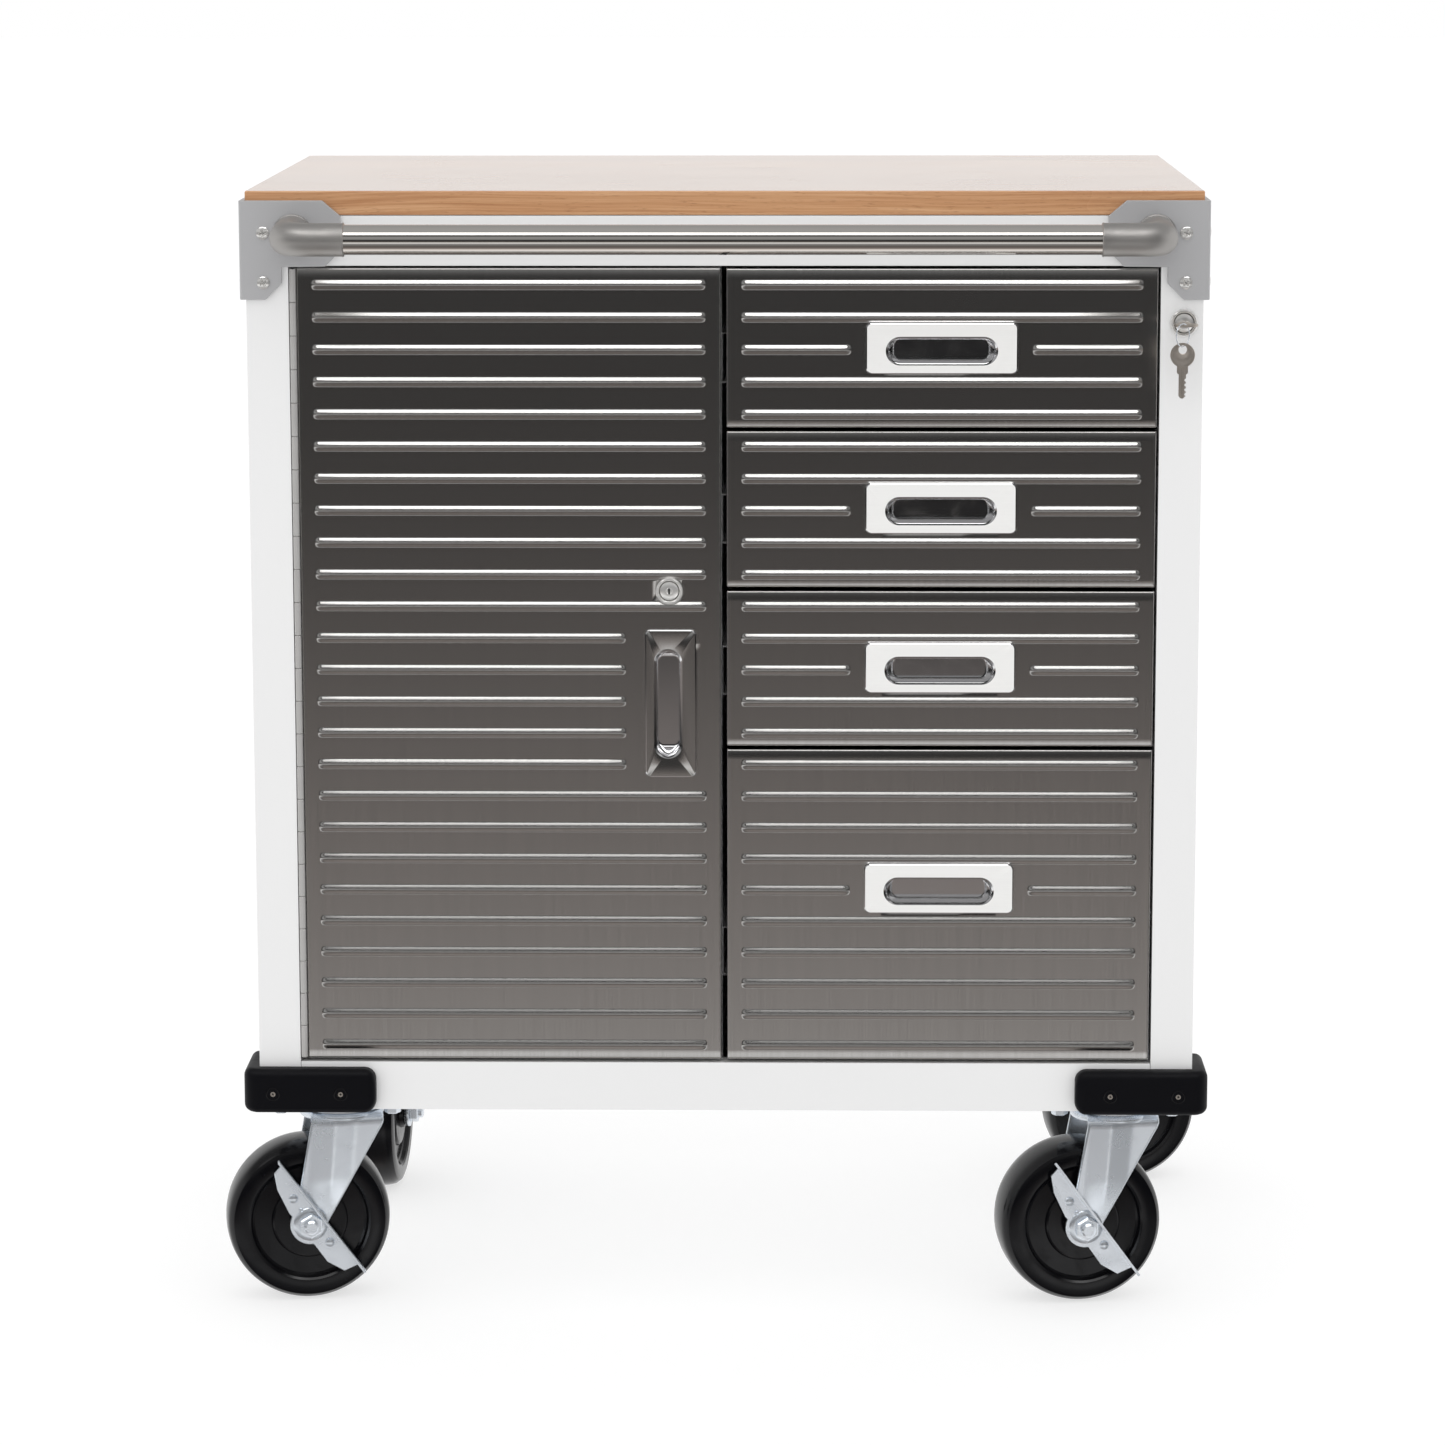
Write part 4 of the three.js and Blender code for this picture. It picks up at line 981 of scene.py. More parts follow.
# %% [markdown]
# ## Piano hinge
# A piano hinge is two long strips rolled round one pin, so its knuckles belong by turns to the
# frame and to the door. Each leaf is one piece: its own knuckles, with a small chamfer where they
# meet, and its strip.

# %% Hinge leaves
joints = {joint["name"]: joint for joint in frame["record"]["behaviour"]["joints"]}
KNUCKLES = 24
BARREL = 2.5 * MM
KNUCKLE_GAP = 0.3 * MM
KNUCKLE_CHAMFER = 0.45 * MM
HINGE_END = 0.5 * MM
STRIP_NEAR, STRIP_FAR = 1.9 * MM, 2.6 * MM
hinge_x, hinge_y, _ = joints["door_swing"]["pos_m"]
hinge_low = door_low.z + HINGE_END
hinge_high = door_high.z - HINGE_END
knuckle = (hinge_high - hinge_low) / KNUCKLES


def slab(x0, x1, y0, y1, z0, z1):
    """A plain box."""
    ring = np.array([(x0, y0), (x1, y0), (x1, y1), (x0, y1)])
    return loft([np.column_stack([ring, np.full(4, z)]) for z in (z0, z1)])


def hinge_leaf(first, side, depth):
    """Every second knuckle from first, and the strip on that side of the pin."""
    neck = BARREL - KNUCKLE_CHAMFER
    shapes = []
    for number in range(first, KNUCKLES, 2):
        z0 = hinge_low + number * knuckle + KNUCKLE_GAP / 2
        z1 = z0 + knuckle - KNUCKLE_GAP
        profile = [(neck, z0), (BARREL, z0 + KNUCKLE_CHAMFER),
                   (BARREL, z1 - KNUCKLE_CHAMFER), (neck, z1)]
        shapes.append(turned(profile, (hinge_x, hinge_y, 0), "Z", 24))
    x0, x1 = sorted((hinge_x + side * STRIP_NEAR, hinge_x + side * STRIP_FAR))
    shapes.append(slab(x0, x1, hinge_y + 1 * MM, hinge_y + depth, hinge_low, hinge_high))
    return joined(shapes)


for word, first, side, depth in (("frame", 0, -1, 16 * MM), ("door", 1, 1, 15 * MM)):
    leaf = hinge_leaf(first, side, depth)
    make_piece(f"hinge_knuckles_{word}", leaf, "hinge_steel", f"hinge_leaf_{word}", smooth=30)
print("knuckles:", KNUCKLES)

# %% [markdown]
# ## Locks and keys
# A cabinet lock shows a domed chrome bezel with a plug turning inside it. Both are turned parts, so
# a profile spun round the lock's axis makes them. The keys are stamped from flat strip: a bow with
# a hole, a neck, and a blade with its cuts.

# %% Lock bezels
# (radius, distance behind the front) in mm.
BEZEL = [(7.5, 20), (9, 20), (9, -0.3), (10.3, -0.3), (10.3, -1.5), (9.9, -2.4), (9.2, -3.0),
         (8.6, -3.0), (8.1, -2.6), (7.7, -1.6), (7.5, -0.4)]


def spun(profile_mm, centre, axis="Y", sides=64):
    """A solid of revolution from a profile in millimetres."""
    return turned(np.asarray(profile_mm, float) * MM, centre, axis, sides)


def hollow(profile_mm, centre, axis="Y", sides=64):
    """A turned ring: the profile closes on itself, so there are no end faces."""
    points, faces = spun(list(profile_mm) + [profile_mm[0]], centre, axis, sides)
    return points, faces[:-2]


drawer_lock = middle_of("drawer_lock_body")
for place, node in ((door_lock, "door_lock_body"), (drawer_lock, "drawer_lock_body")):
    bezel = hollow(BEZEL, (place.x, FRONT, place.z))
    make_piece(node + "_bezel", bezel, "chrome_and_painted_sheen", node, smooth=32)

# %% Key shapes
KEY_BOW = 9.1 * MM
KEY_HOLE = 3.2 * MM
KEY_HOLE_UP = 4.1 * MM
KEY_HALF = 0.8 * MM
# (0 at the hole to 1 at the rim, 0 to 1 of the half thickness): a raised rim round a sunk face.
BOW_SECTION = [(1, 0.6), (0.95, 1), (0.72, 1), (0.66, 0.72), (0.2, 0.72), (0.12, 1), (0.04, 1), (0, 0.7)]
# (distance across in mm, half thickness) of the groove milled along both faces of the blade.
GROOVE = [(-0.9, 0.85), (-0.6, 0.35), (0.4, 0.35), (0.7, 0.85)]
BLADE_EDGE = 0.85
# (distance down the key, width to the left, width to the right) in mm.
BLADE_NECK = [(-7.5, 4.0, 4.0), (-13.0, 4.1, 4.1), (-13.6, 3.6, 3.6), (-14.2, 2.7, 2.7)]
BLADE_TIP = [(-31.0, 2.2, 1.6), (-32.0, 0.8, 0.6)]
KEY_CUTS = (17.0, 20.6, 24.2, 27.6)


def mirrored(points):
    """The same (a, c) points with c turned over, in reverse order: those of the other face."""
    return [(a, -c) for a, c in points[::-1]]


def key_shape(sides=48):
    """Bow = rings between the outer circle and the hole; blade = rings along -b. Axes (a, b, c)."""
    angle = np.linspace(0, 2 * math.pi, sides, endpoint=False)
    circle = np.stack([np.cos(angle), np.sin(angle)], -1)
    outer = circle * KEY_BOW
    hole = circle * KEY_HOLE + [0, KEY_HOLE_UP]
    path = mirrored(BOW_SECTION)[-1:] + BOW_SECTION + mirrored(BOW_SECTION)
    rings = [np.column_stack([hole * (1 - share) + outer * share, np.full(sides, c * KEY_HALF)])
             for share, c in path]
    points, faces = loft(rings)
    bow = (points, faces[:-2])
    stations = list(BLADE_NECK)
    for cut in KEY_CUTS:
        stations += [(-cut - down, 2.7, right)
                     for down, right in ((0, 2.7), (1.0, 1.5), (1.7, 1.5), (2.6, 2.6))]
    stations += BLADE_TIP
    blade = []
    for b, left, right in stations:
        upper = [(-left, BLADE_EDGE), *GROOVE, (right, BLADE_EDGE)]
        lower = mirrored(upper)
        outline = lower[-1:] + upper + lower[:-1]
        blade.append([(a * MM, b * MM, c * KEY_HALF) for a, c in outline])
    return joined([bow, loft(blade)])


def placed(shape, origin, a_axis, b_axis, c_axis):
    """A shape drawn on axes (a, b, c), put at origin along three directions of the chest."""
    points, faces = shape
    basis = np.array([a_axis, b_axis, c_axis], float)
    return np.asarray(points) @ basis + np.asarray(origin), faces


print("key:", len(key_shape()[0]), "points")

# %% Lock plugs
# (radius, distance behind the front) in mm.
PLUG = [(0, 22), (7.2, 22), (7.2, -1.2), (6.8, -2.0), (5.4, -2.4), (3.2, -2.5), (0, -2.5)]
PLUG_EYE = [(0, -2), (2.6, -2), (2.6, -2.7), (2.2, -3.1), (1.5, -3.2), (0, -3.2)]
PLUG_TAIL = [(0, 26), (5, 26), (5, 20), (0, 20)]
CAM_PIN = [(0, 22.5), (1.5, 22.5), (1.5, 28), (0, 28)]
CAM_PIN_DROP = 8 * MM
CAM_HALF = 5 * MM
SLIT_HALF = (0.7 * MM, 2.3 * MM)


def cam_plate(lock, low, high, y0, y1):
    """The cam behind a lock: a plate from low to high about its axis and y0 to y1 behind the front."""
    return slab(lock.x - CAM_HALF, lock.x + CAM_HALF, FRONT + y0 * MM, FRONT + y1 * MM,
                lock.z + low * MM, lock.z + high * MM)


spot = (door_lock.x, FRONT, door_lock.z)
door_plug = joined([
    spun(PLUG, spot),
    spun(PLUG_EYE, spot, sides=24),
    spun(PLUG_TAIL, spot),
    cam_plate(door_lock, -28, 6, 25.5, 27.3),
])
make_piece("door_lock_cylinder", door_plug, "chrome_and_painted_sheen", "door_lock_plug", smooth=30)
# A near-black slab just in front of the plug's face is painted shade where the keyway opens.
slit = slab(door_lock.x - SLIT_HALF[0], door_lock.x + SLIT_HALF[0],
            FRONT - 3.26 * MM, FRONT - 3.1 * MM,
            door_lock.z - SLIT_HALF[1], door_lock.z + SLIT_HALF[1])
make_piece("door_lock_slit", slit, "keyhole", body=body_of["door_lock_plug"])

spot = (drawer_lock.x, FRONT, drawer_lock.z)
cam_pin = spun(CAM_PIN, (0, 0, -CAM_PIN_DROP), sides=16)
drawer_plug = joined([
    spun(PLUG, spot),
    cam_plate(drawer_lock, -12, 0, 22.1, 23.9),
    placed(cam_pin, spot, (1, 0, 0), (0, 1, 0), (0, 0, 1)),
])
make_piece("drawer_lock_cylinder", drawer_plug, "chrome_and_painted_sheen", "drawer_lock_plug", smooth=30)
print("plugs:", len(door_plug[0]), "and", len(drawer_plug[0]), "points")

# %% Keys
BOW_FORWARD = 17.5 * MM
bow_at = (drawer_lock.x, FRONT - BOW_FORWARD, drawer_lock.z)
inserted = placed(key_shape(), bow_at, (-1, 0, 0), (0, -1, 0), (0, 0, 1))
make_piece("drawer_lock_key", inserted, "key_nickel", body=body_of["drawer_lock_plug"],
           smooth=30)
spare_low, spare_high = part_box("spare_key")
spare_x, spare_y = (spare_low.x + spare_high.x) / 2, (spare_low.y + spare_high.y) / 2
spare_at = (spare_x, spare_y, spare_high.z - KEY_BOW)
spare = placed(key_shape(), spare_at, (1, 0, 0), (0, 0, 1), (0, -1, 0))
make_piece("spare_key_stamped", spare, "key_nickel", "spare_key", smooth=30)
print("keys at", [round(v, 3) for v in bow_at], "and", [round(v, 3) for v in spare_at])

# %% Key ring
RING_WIRE = 0.42 * MM
ring_low, ring_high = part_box("key_ring")
ring_middle = (ring_low + ring_high) / 2
ring_radius = (ring_high.z - ring_low.z) / 2 - RING_WIRE
ring_angle = math.atan2(ring_high.y - ring_low.y, ring_high.x - ring_low.x)
around = np.linspace(0, 2 * math.pi, 73)
section = np.linspace(0, 2 * math.pi, 12, endpoint=False)
wire_turn = []
for angle in around:
    reach = ring_radius + RING_WIRE * np.cos(section)
    flat = reach * math.cos(angle)
    side = RING_WIRE * np.sin(section)
    wire_turn.append(np.stack([flat * math.cos(ring_angle) - side * math.sin(ring_angle),
                               flat * math.sin(ring_angle) + side * math.cos(ring_angle),
                               reach * math.sin(angle)], -1))
points, faces = loft(wire_turn)
make_piece("key_ring_wire", (points + np.array(ring_middle), faces[:-2]), "zinc", "key_ring")
print("key ring of radius", round(ring_radius, 4))

# %% [markdown]
# ## Push bar
# The bar is a polished tube held by two cast elbows. An elbow leaves its bracket with a wide foot,
# narrows, and bends inwards, so a circle of changing radius is carried along a bent path.

# %% Bar
BAR_RADIUS = 11 * MM
bar_low, bar_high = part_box("push_bar")
bar_y, bar_z = (bar_low.y + bar_high.y) / 2, (bar_low.z + bar_high.z) / 2
bar_profile = [(0, bar_low.x), (BAR_RADIUS, bar_low.x), (BAR_RADIUS, bar_high.x), (0, bar_high.x)]
bar_shape = turned(bar_profile, (0, bar_y, bar_z), "X", 96)
bar = make_piece("push_bar_tube", bar_shape, "bar_chrome", "push_bar", smooth=30)
# Mirrored in the brushed front, the bar would black out the one bead that lies below it.
bar.visible_glossy = False
print("bar from", round(bar_low.x, 3), "to", round(bar_high.x, 3))

# %% Elbows
ELBOW_X = 319.8 * MM
ELBOW_END = 276 * MM
BEND = 19 * MM
FOOT = 14.5 * MM
NECK = 12.25 * MM
FOOT_TAPER = 1.6
ELBOW_WALL = FRONT - 4.6 * MM
# (radius, distance in front of the bracket) in mm.
FOOT_RING = [(0, 0), (14.6, 0), (14.9, -0.8), (14.6, -2.2), (13.4, -2.8), (0, -2.8)]
# (distance from the elbow's end, growth of the radius) in mm: the lip round the mouth.
MOUTH_LIP = [(1.6, 0), (1.2, 0.25), (0.5, 0.25), (0, -0.4)]


def tube(path, radii, sides=40):
    """A closed tube: circles square to a level path, with a radius for each point."""
    path, radii = np.asarray(path, float), np.asarray(radii, float)
    run = np.gradient(path, axis=0)
    run /= np.linalg.norm(run, axis=1, keepdims=True)
    across = np.stack([-run[:, 1], run[:, 0], np.zeros(len(run))], -1)
    angle = np.linspace(0, 2 * math.pi, sides, endpoint=False)
    circle = (across[:, None] * np.cos(angle)[None, :, None]
              + np.array([0, 0, 1.0])[None, None] * np.sin(angle)[None, :, None])
    return loft(path[:, None] + circle * radii[:, None, None])


def elbow(side):
    """Straight out of the bracket, a quarter bend, and straight to the mouth."""
    leave = bar_y + BEND
    straight = [(ELBOW_X, y) for y in np.linspace(ELBOW_WALL, leave, 9)]
    turn = np.linspace(0, math.pi / 2, 15)[1:]
    curve = [(ELBOW_X - BEND * (1 - math.cos(a)), leave - BEND * math.sin(a)) for a in turn]
    mouth = [(ELBOW_X - BEND - 7 * MM, bar_y)]
    mouth += [(ELBOW_END + before * MM, bar_y) for before, _ in MOUTH_LIP]
    path = [(side * x, y, bar_z) for x, y in straight + curve + mouth]
    share = np.linspace(0, 1, len(straight) + len(curve))
    radii = list(NECK + (FOOT - 0.6 * MM - NECK) * (1 - share) ** FOOT_TAPER)
    radii += [NECK] + [NECK + growth * MM for _, growth in MOUTH_LIP]
    foot = spun(FOOT_RING, (side * ELBOW_X, ELBOW_WALL, bar_z))
    return joined([tube(path, radii), foot])


for side, word in ((-1, "left"), (1, "right")):
    make_piece(f"bar_elbow_{word}_casting", elbow(side), "pewter", f"bar_elbow_{word}", smooth=50)
print("elbows at x =", round(-ELBOW_X, 4), "and", round(ELBOW_X, 4))

# %% Corner brackets
BRACKET_BEND = 2.2 * MM


def bracket_shape(node):
    """The CAD bracket with its upright corner rolled."""
    points, faces = cad_copy(node)
    low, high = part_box(node)
    corner_x = low.x if low.x < 0 else high.x
    shell = bmesh.new()
    vertices = [shell.verts.new(point) for point in points]
    for face in faces:
        shell.faces.new([vertices[i] for i in face])
    on_corner = [edge for edge in shell.edges
                 if all(abs(v.co.x - corner_x) < 1e-5 and abs(v.co.y - low.y) < 1e-5 for v in edge.verts)]
    bmesh.ops.bevel(shell, geom=on_corner, offset=BRACKET_BEND, segments=5, affect="EDGES", profile=0.5)
    shell.verts.index_update()
    points = np.array([vertex.co[:] for vertex in shell.verts])
    faces = [[vertex.index for vertex in face.verts] for face in shell.faces]
    shell.free()
    return points, faces


for word in ("left", "right"):
    node = f"corner_bracket_{word}"
    piece = make_piece(node + "_rolled", bracket_shape(node), "bracket_silver", node,
                       closed=False, smooth=30)
    finishing_bevel(piece, 0.45 * MM)
print("brackets rolled by", BRACKET_BEND)

# %% [markdown]
# ## Screws
# Every bracket and bumper is held by cross-head screws. A screw head is a dome drawn on rings about
# its middle, pushed in where it lies under the cross. One function makes them all, turned a
# little differently each time, because no one lines screws up.

# %% Screw heads
SEED = 7
chance = np.random.default_rng(SEED)


def screw_head(place, outward, radius, dome=1.9 * MM, recess=1.5 * MM):
    """Height = dome * sqrt(1 - (0.9 r)^2), less the recess where the cross lies. Seen from outward."""
    spokes = 48
    share = np.concatenate([[0.001], np.linspace(0.07, 0.62, 10), [0.72, 0.86, 0.96, 1.0]])
    turn = chance.uniform(0, math.pi / 2)
    angle = np.linspace(0, 2 * math.pi, spokes, endpoint=False)
    u, v = share[:, None] * np.cos(angle), share[:, None] * np.sin(angle)
    arm = np.minimum(np.abs(u), np.abs(v))
    cross = np.clip((0.17 - arm) / 0.07, 0, 1) * np.clip((0.58 - share[:, None]) / 0.08, 0, 1)
    height = dome * np.sqrt(1 - (0.9 * share[:, None]) ** 2) - recess * cross
    height = np.broadcast_to(height, u.shape)
    a, b = u * math.cos(turn) - v * math.sin(turn), u * math.sin(turn) + v * math.cos(turn)
    top = np.stack([a * radius, b * radius, height], -1)
    foot = top[-1].copy()
    foot[:, 2] = -0.2 * MM
    shape = loft(np.concatenate([top, foot[None]]))
    normal = Vector(outward)
    level = normal.orthogonal().normalized()
    return placed(shape, place, level, normal.cross(level), normal)


print("screw heads turn from seed", SEED)

# %% Bracket screws
SCREW = 4.75 * MM
SCREW_LEVELS = (0.832, 0.7952)
bracket_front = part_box("corner_bracket_left")[0].y
bracket_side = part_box("corner_bracket_right")[1].x
SCREW_INSET = 17.9 * MM
screws = []
for side in (-1, 1):
    for z in SCREW_LEVELS:
        on_front = (side * (bracket_side - SCREW_INSET), bracket_front, z)
        on_side = (side * bracket_side, bracket_front + SCREW_INSET, z)
        screws.append(screw_head(on_front, (0, -1, 0), SCREW))
        screws.append(screw_head(on_side, (side, 0, 0), SCREW))
# The screws take the chrome with its painted sheen, which gives them bright glints.
make_piece("bracket_screws", joined(screws), "chrome_and_painted_sheen", body="cabinet", smooth=32)
print("bracket screws:", len(screws))

# %% [markdown]
# ## Bumpers
# The corner bumpers are moulded rubber, so every edge is generously rounded. A bevel on the CAD
# block would round all edges alike, but the real ends are rounder than the edges, so a section
# with two round edges is carried round the corner and shrinks at both ends. The screws sit in
# small black wells.

# %% Bumpers
BUMPER_EDGE = 6 * MM
BUMPER_END = 9 * MM
BUMPER_GAP = 0.3 * MM


def rounded_section(half, depth):
    """Points (distance out from the wall, height): flat at the wall, with two round outer edges."""
    edge = min(BUMPER_EDGE, depth * 0.9, half * 0.9)
    arc = np.linspace(0, math.pi / 2, 7)
    lower = [(depth - edge + edge * math.sin(a), -half + edge - edge * math.cos(a)) for a in arc]
    upper = [(depth - edge + edge * math.cos(a), half - edge + edge * math.sin(a)) for a in arc]
    return [(0, -half)] + lower + upper + [(0, half)]


def bumper_shape(node):
    """A section with two round outer edges, carried round the corner; height and thickness
    fall off over the last BUMPER_END of each leg, as a quarter circle."""
    low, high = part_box(node)
    side = -1 if low.x < 0 else 1
    face = -1 if low.y < 0 else 1
    wall_y = (FRONT if face < 0 else BACK) + face * BUMPER_GAP
    wall = Vector((side * (BODY_RIGHT + BUMPER_GAP), wall_y))
    reach = Vector((high.x - low.x, high.y - low.y))
    thick = (wall.y - low.y) if face < 0 else (high.y - wall.y)
    half, middle = (high.z - low.z) / 2, (high.z + low.z) / 2
    taper = BUMPER_END * (1 - np.cos(np.linspace(0, math.pi / 2, 9)))
    front_leg, side_leg = reach.x - thick, reach.y - thick
    stations = [(front_leg - t, 0.0, t, "front") for t in taper]
    stations += [(0.0, angle, BUMPER_END, "corner") for angle in np.linspace(0, math.pi / 2, 12)]
    stations += [(side_leg - t, math.pi / 2, t, "side") for t in taper[::-1]]
    rings = []
    for along, angle, inset, leg in stations:
        shrink = BUMPER_END - math.sqrt(max(BUMPER_END ** 2 - (BUMPER_END - inset) ** 2, 0))
        section = rounded_section(half - shrink, thick - 0.55 * shrink)
        outward = Vector((side * math.sin(angle), face * math.cos(angle)))
        start = wall + Vector((-side * along, 0) if leg == "front" else (0, -face * along))
        rings.append([(start.x + outward.x * out, start.y + outward.y * out, middle + z)
                      for out, z in section])
    return loft(rings)


for end in ("front", "rear"):
    for word in ("left", "right"):
        node = f"bumper_{end}_{word}"
        make_piece(node + "_moulded", bumper_shape(node), "black_rubber", node, smooth=60)
print("bumpers rounded by", BUMPER_EDGE, "and", BUMPER_END)

# %% Bumper screws
BUMPER_SCREW_SPOTS = (0.3444, 0.2928)
BUMPER_SCREW_LEVEL = 0.177
BUMPER_SCREW = dict(radius=1.9 * MM, dome=0.4 * MM, recess=1.0 * MM)
# (radius, distance behind the rubber's face) in mm: a low rim round a flat floor.
WELL = [(0, 0.5), (5.4, 0.5), (5.4, -0.25), (4.8, -0.45), (4.2, -0.3), (3.9, 0.2), (0, 0.2)]
wells, heads = [], []
for node, outward in (("bumper_front_left", -1), ("bumper_rear_left", 1)):
    low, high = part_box(node)
    face = low.y if outward < 0 else high.y
    for side in (-1, 1):
        for x in BUMPER_SCREW_SPOTS:
            place = (side * x, face, BUMPER_SCREW_LEVEL)
            well = spun(WELL, (0, 0, 0), sides=24)
            wells.append(placed(well, place, (1, 0, 0), (0, -outward, 0), (0, 0, 1)))
            heads.append(screw_head(place, (0, outward, 0), **BUMPER_SCREW))
make_piece("bumper_wells", joined(wells), "black_wheel", body="cabinet")
make_piece("bumper_screws", joined(heads), "key_nickel", body="cabinet", smooth=32)
print("bumper screws:", len(heads))

# %% [markdown]
# ## Casters
# A swivel caster is a plate with a dished race, a pressed fork, a wheel, and on the front two a
# brake lever. Each is drawn once about its own swivel axis, with the wheel trailing behind, and
# then turned to where the frame says its axle points.

# %% Caster frames
class Caster:
    """A caster's own axes: x from axle to pivot, y along the axle, z up, from its pivot."""

    def __init__(self, place):
        pivot = np.array(joints[f"swivel_{place}"]["pos_m"])
        axle = np.array(joints[f"wheel_spin_{place}"]["pos_m"])
        y_axis = np.array(joints[f"wheel_spin_{place}"]["axis"])
        x_axis = np.cross(y_axis, [0, 0, 1])
        self.trail = float(np.dot(pivot - axle, x_axis))
        self.origin = (pivot[0], pivot[1], 0)
        self.axes = (x_axis, y_axis, (0, 0, 1))

    def put(self, shape):
        """A shape drawn on the caster's own axes, where the chest has it."""
        return placed(shape, self.origin, *self.axes)


WHEEL_RADIUS = 63.5 * MM
PLACES = ("front_left", "front_right", "rear_left", "rear_right")
casters = {place: Caster(place) for place in PLACES}
print("trails:", [round(c.trail, 4) for c in casters.values()])

# %% Plates and races
CASTER_PLATE = (108 * MM, 95 * MM)
CASTER_CORNER = 8 * MM
CASTER_EDGE = 0.6 * MM
PLATE_TOP = 162.3 * MM
PLATE_UNDER = 158.6 * MM
BOLT_SPOTS = [(x * MM, y * MM) for x in (-43, 43) for y in (-37, 37)]
# (radius, height) in mm: from the floor for the dish and the pin, from the plate for a bolt.
DISH = [(0, 160), (43.5, 160), (43.5, 158.4), (42.4, 157.2), (40, 155.8), (37, 154.4), (34.6, 153.4),
        (33.6, 152.2), (33.2, 150.9), (31, 150.6), (0, 150.6)]
PIN = [(0, 152), (6, 152), (6, 146.7), (9.3, 146.6), (9.6, 145.8), (9.6, 143.6), (9, 142.8),
       (0, 142.8)]
BOLT = [(0, 0), (6.4, 0), (6.4, -4.2), (5.6, -5.0), (0, -5.0)]


def caster_plate(x, y):
    """A plate with round corners and a broken lower edge, with its race, pin and four bolts."""
    length, width = CASTER_PLATE
    outline = rounded_ring(length, width, CASTER_CORNER)
    inner = rounded_ring(length - 2 * CASTER_EDGE, width - 2 * CASTER_EDGE, CASTER_CORNER - CASTER_EDGE)
    layers = ((inner, PLATE_UNDER), (outline, PLATE_UNDER + CASTER_EDGE), (outline, PLATE_TOP))
    plate = loft([np.column_stack([ring, np.full(len(ring), z)]) + [x, y, 0] for ring, z in layers])
    bolts = [spun(BOLT, (x + along, y + across, PLATE_UNDER), "Z", 6) for along, across in BOLT_SPOTS]
    return joined([plate, spun(DISH, (x, y, 0), "Z"), spun(PIN, (x, y, 0), "Z"), *bolts])


for place, caster in casters.items():
    plate = caster_plate(*caster.origin[:2])
    make_piece(f"caster_plate_{place}_race", plate, "zinc", f"caster_plate_{place}", smooth=32)
print("plate between", PLATE_UNDER, "and", PLATE_TOP)

# %% Forks and swivel cups
LEG_OUT = 29.3 * MM
LEG_SHEET = 2.8 * MM
CROWN = 150 * MM
CROWN_ROUND = 7 * MM
EYE = 13 * MM
# Where the legs' back and front edges end at the crown, from the swivel axis.
CROWN_BACK, CROWN_FRONT = -26 * MM, 30 * MM
RIDGE_PROUD = 2.2 * MM
RIDGE_HALF = 17 * MM


def fork_shape(trail):
    """Point = middle(z) + half width(z) * t across, carried along an upside-down U, with a ridge."""
    legs = np.concatenate([WHEEL_RADIUS - EYE * np.cos(np.linspace(0, 1.25, 12)),
                           np.linspace(WHEEL_RADIUS, CROWN - CROWN_ROUND, 26)])
    bend = np.linspace(0, math.pi / 2, 8)[1:]
    y = np.concatenate([np.full(len(legs), -LEG_OUT), -LEG_OUT + CROWN_ROUND * (1 - np.cos(bend)),
                        [-10 * MM, 0]])
    z = np.concatenate([legs, CROWN - CROWN_ROUND * (1 - np.sin(bend)), [CROWN, CROWN]])
    normal_y = np.concatenate([np.full(len(legs), -1.0), -np.cos(bend), [0, 0]])
    normal_z = np.concatenate([np.zeros(len(legs)), np.sin(bend), [1, 1]])
    climb = np.clip((z - WHEEL_RADIUS) / (CROWN - 8 * MM - WHEEL_RADIUS), 0, 1)
    half_eye = np.sqrt(np.maximum(EYE ** 2 - np.minimum(z - WHEEL_RADIUS, 0) ** 2, 1e-10))
    back_edge = np.where(z < WHEEL_RADIUS, -trail - half_eye,
                         -trail - EYE + (CROWN_BACK + trail + EYE) * climb)
    front_edge = np.where(z < WHEEL_RADIUS, -trail + half_eye,
                          -trail + EYE + (CROWN_FRONT + trail - EYE) * climb)
    t = np.linspace(-1, 1, 29)[None, :]
    middle, half = (back_edge + front_edge)[:, None] / 2, (front_edge - back_edge)[:, None] / 2
    x = middle + half * t
    fade = np.clip(climb * 3.2 - 0.35, 0, 1)[:, None] * np.abs(normal_y)[:, None]
    fold_line = (-14.5 * MM + 6.5 * MM * climb)[:, None]
    rib = RIDGE_PROUD * np.clip(1 - np.abs(x - fold_line) / RIDGE_HALF, 0, 1) * fade
    flat_y = y[:, None] + normal_y[:, None] * rib
    flat_z = z[:, None] + normal_z[:, None] * rib
    front = np.stack([x, flat_y, flat_z], -1)
    back = front[::-1][1:].copy()
    back[..., 1] *= -1
    sheet = np.concatenate([front, back])
    rows, columns = sheet.shape[:2]
    return sheet.reshape(-1, 3), grid_faces(rows, columns)


# (radius, height) in mm: the ring of the cup that turns under the plate's race.
CUP = [(10.5, 144), (10.5, 150.2), (29, 150.2), (31.2, 149.6), (32.6, 148), (33, 146),
       (32.4, 144.4), (30, 144)]
for place, caster in casters.items():
    fork = make_piece(f"caster_fork_{place}_pressing", caster.put(fork_shape(caster.trail)), "zinc",
                      f"caster_fork_{place}", closed=False, smooth=40)
    add_sheet(fork, LEG_SHEET)
    cup = caster.put(hollow(CUP, (0, 0, 0), "Z"))
    make_piece(f"caster_cup_{place}", cup, "zinc", body=f"swivel_{place}", smooth=40)
print("forks and cups:", len(casters))

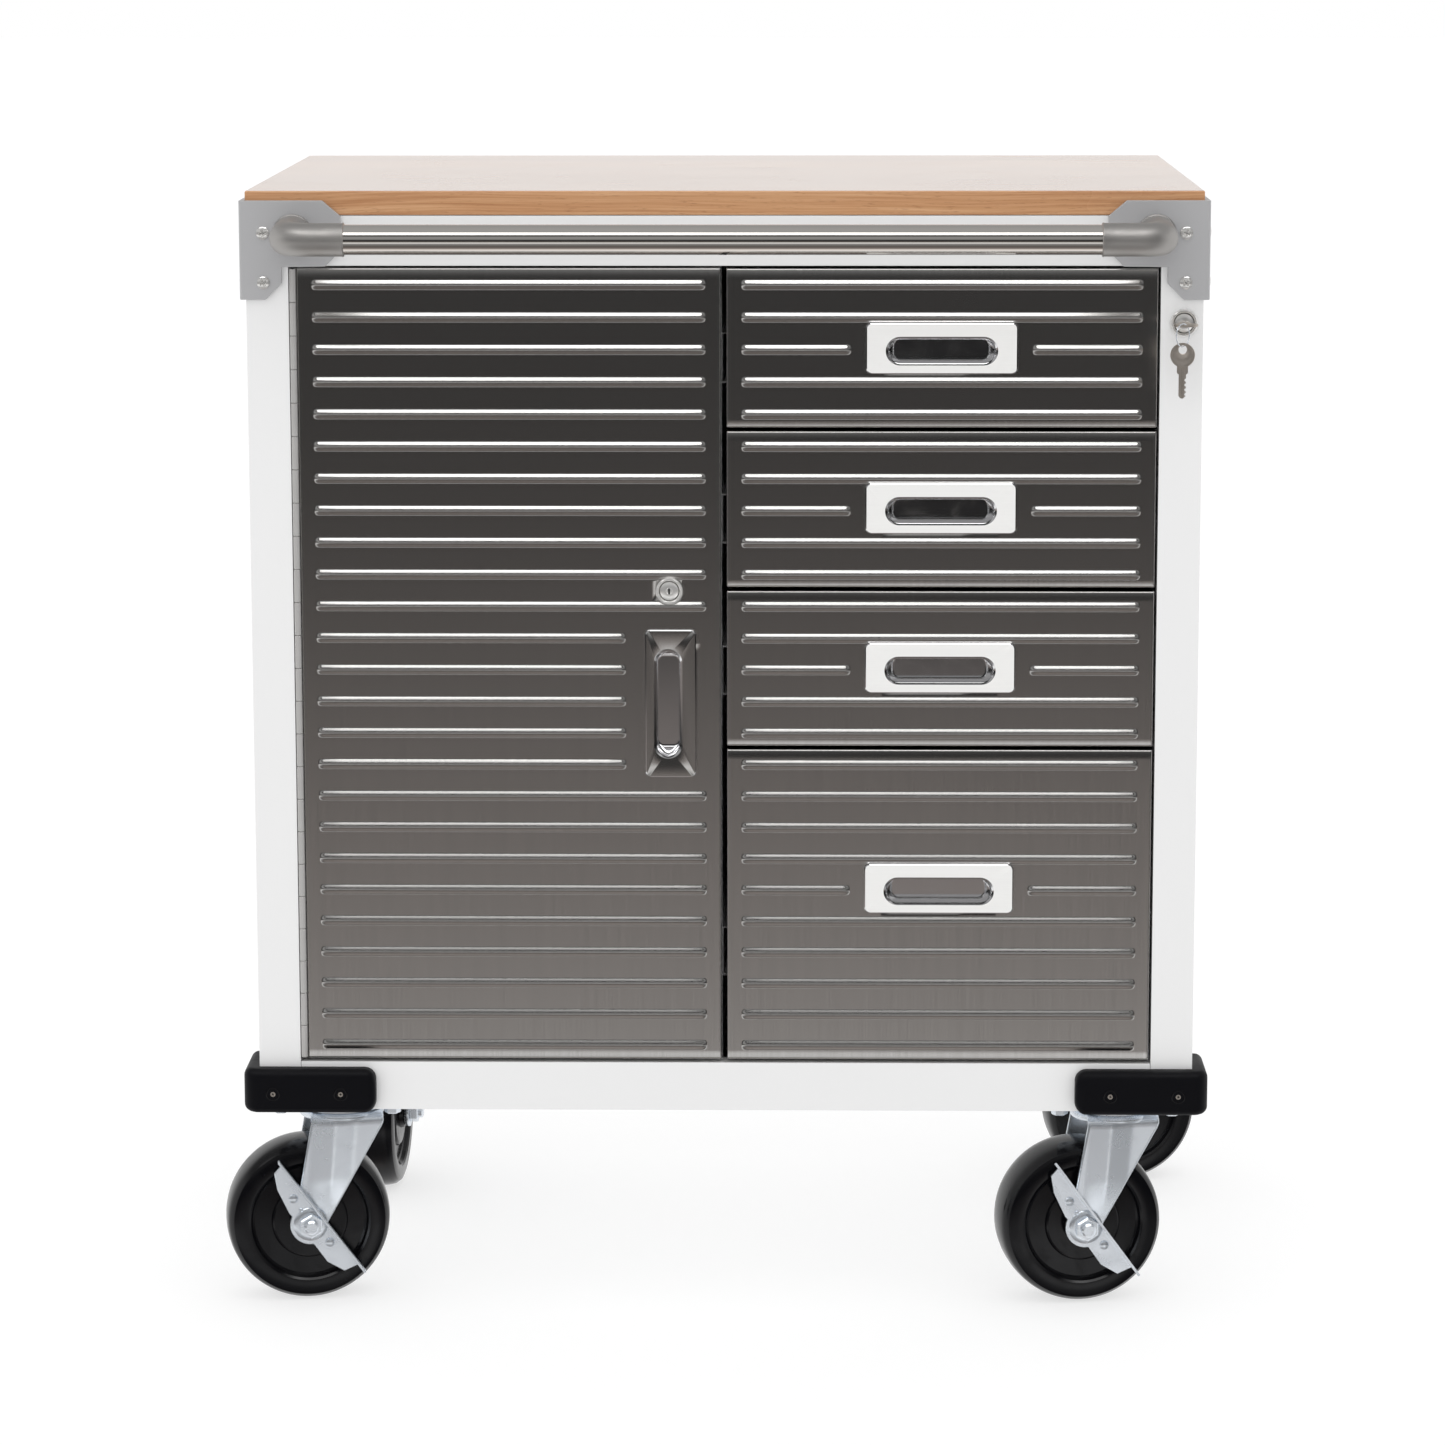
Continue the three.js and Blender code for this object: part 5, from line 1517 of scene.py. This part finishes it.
# %% Wheels
# (radius, distance from the wheel's middle plane) in mm: hub, sunk web and tread on one side.
RIM = [(6.5, -25.4), (12, -25.4), (13.4, -24.6), (14.4, -21.6), (27.4, -21.2), (28.6, -20.4),
       (29.6, -18.6), (42.6, -18.0), (44.2, -18.8), (45.6, -21.8), (47.2, -22.9), (55.5, -23.1),
       (58.6, -22.0), (61.4, -18.4), (62.7, -13), (63.3, -7), (63.5, 0)]
whole_rim = RIM + mirrored(RIM)[1:]
for place, caster in casters.items():
    wheel = caster.put(hollow(whole_rim, (-caster.trail, 0, WHEEL_RADIUS), "Y", 96))
    make_piece(f"caster_wheel_{place}_turned", wheel, "black_wheel", f"caster_wheel_{place}", smooth=26)
print("wheel profile:", len(whole_rim), "points")

# %% Axles
# Distances along the axle in mm: the nut stands on the brake lever, or on the leg where there is
# none, and the head stands on the other leg.
BRAKED_STACK = 31.6
PLAIN_STACK = 29.3
AXLE_HEAD = [(0, 29.6), (9.5, 29.6), (9.5, 34.6), (8.4, 35.3), (0, 35.3)]


def axle_shape(stack, hub):
    """A bolt through both legs: a nut and thread end past the stack, and a head at the far side."""
    nut = [(0, -stack - 7.0), (8.3, -stack - 7.0), (9.5, -stack - 6.2), (9.5, -stack - 0.3),
           (0, -stack - 0.3)]
    tip = [(0, -stack - 11), (4.2, -stack - 11), (5.6, -stack - 10), (5.6, -stack - 5),
           (0, -stack - 5)]
    shaft = [(0, -stack - 1), (5.9, -stack - 1), (5.9, 30), (0, 30)]
    parts = ((nut, 6), (tip, 32), (AXLE_HEAD, 6), (shaft, 32))
    return joined([spun(profile, hub, sides=sides) for profile, sides in parts])


for place, caster in casters.items():
    stack = BRAKED_STACK if place.startswith("front") else PLAIN_STACK
    axle = caster.put(axle_shape(stack, (-caster.trail, 0, WHEEL_RADIUS)))
    make_piece(f"caster_axle_{place}_bolt", axle, "zinc", f"caster_axle_{place}", smooth=30)
print("axles:", len(casters))

# %% Brake levers
LEVER_FACE = -BRAKED_STACK
# (x, z from the wheel's axle, radius) in mm: two rivets, and a small one near the axle.
LEVER_MARKS = [(-13.2, 21.1, 3.6), (14.5, -14.9, 3.6), (-7.5, 11.9, 1.8)]
WASHER = [(6.2, 0), (13.2, 0), (13.4, -0.5), (12.6, -1.1), (9.5, -1.3), (6.2, -1.3)]


def rivet(radius, place):
    """A domed head of that radius in mm on the lever's face."""
    dome = [(0, 0.4), (radius, 0.4), (radius, -0.5), (radius * 0.86, -1.2), (radius * 0.5, -1.6),
            (0, -1.7)]
    return spun(dome, place, sides=28)


for word in ("left", "right"):
    caster = casters[f"front_{word}"]
    dress(f"brake_lever_{word}", "zinc", 0.7 * MM, 3)
    rivets = [rivet(radius, (-caster.trail + x * MM, LEVER_FACE * MM, WHEEL_RADIUS + z * MM))
              for x, z, radius in LEVER_MARKS]
    washer = hollow(WASHER, (-caster.trail, LEVER_FACE * MM, WHEEL_RADIUS))
    make_piece(f"brake_rivets_{word}", caster.put(joined([*rivets, washer])), "zinc",
               body=f"brake_{word}", smooth=35)
print("rivets on each lever:", len(LEVER_MARKS))
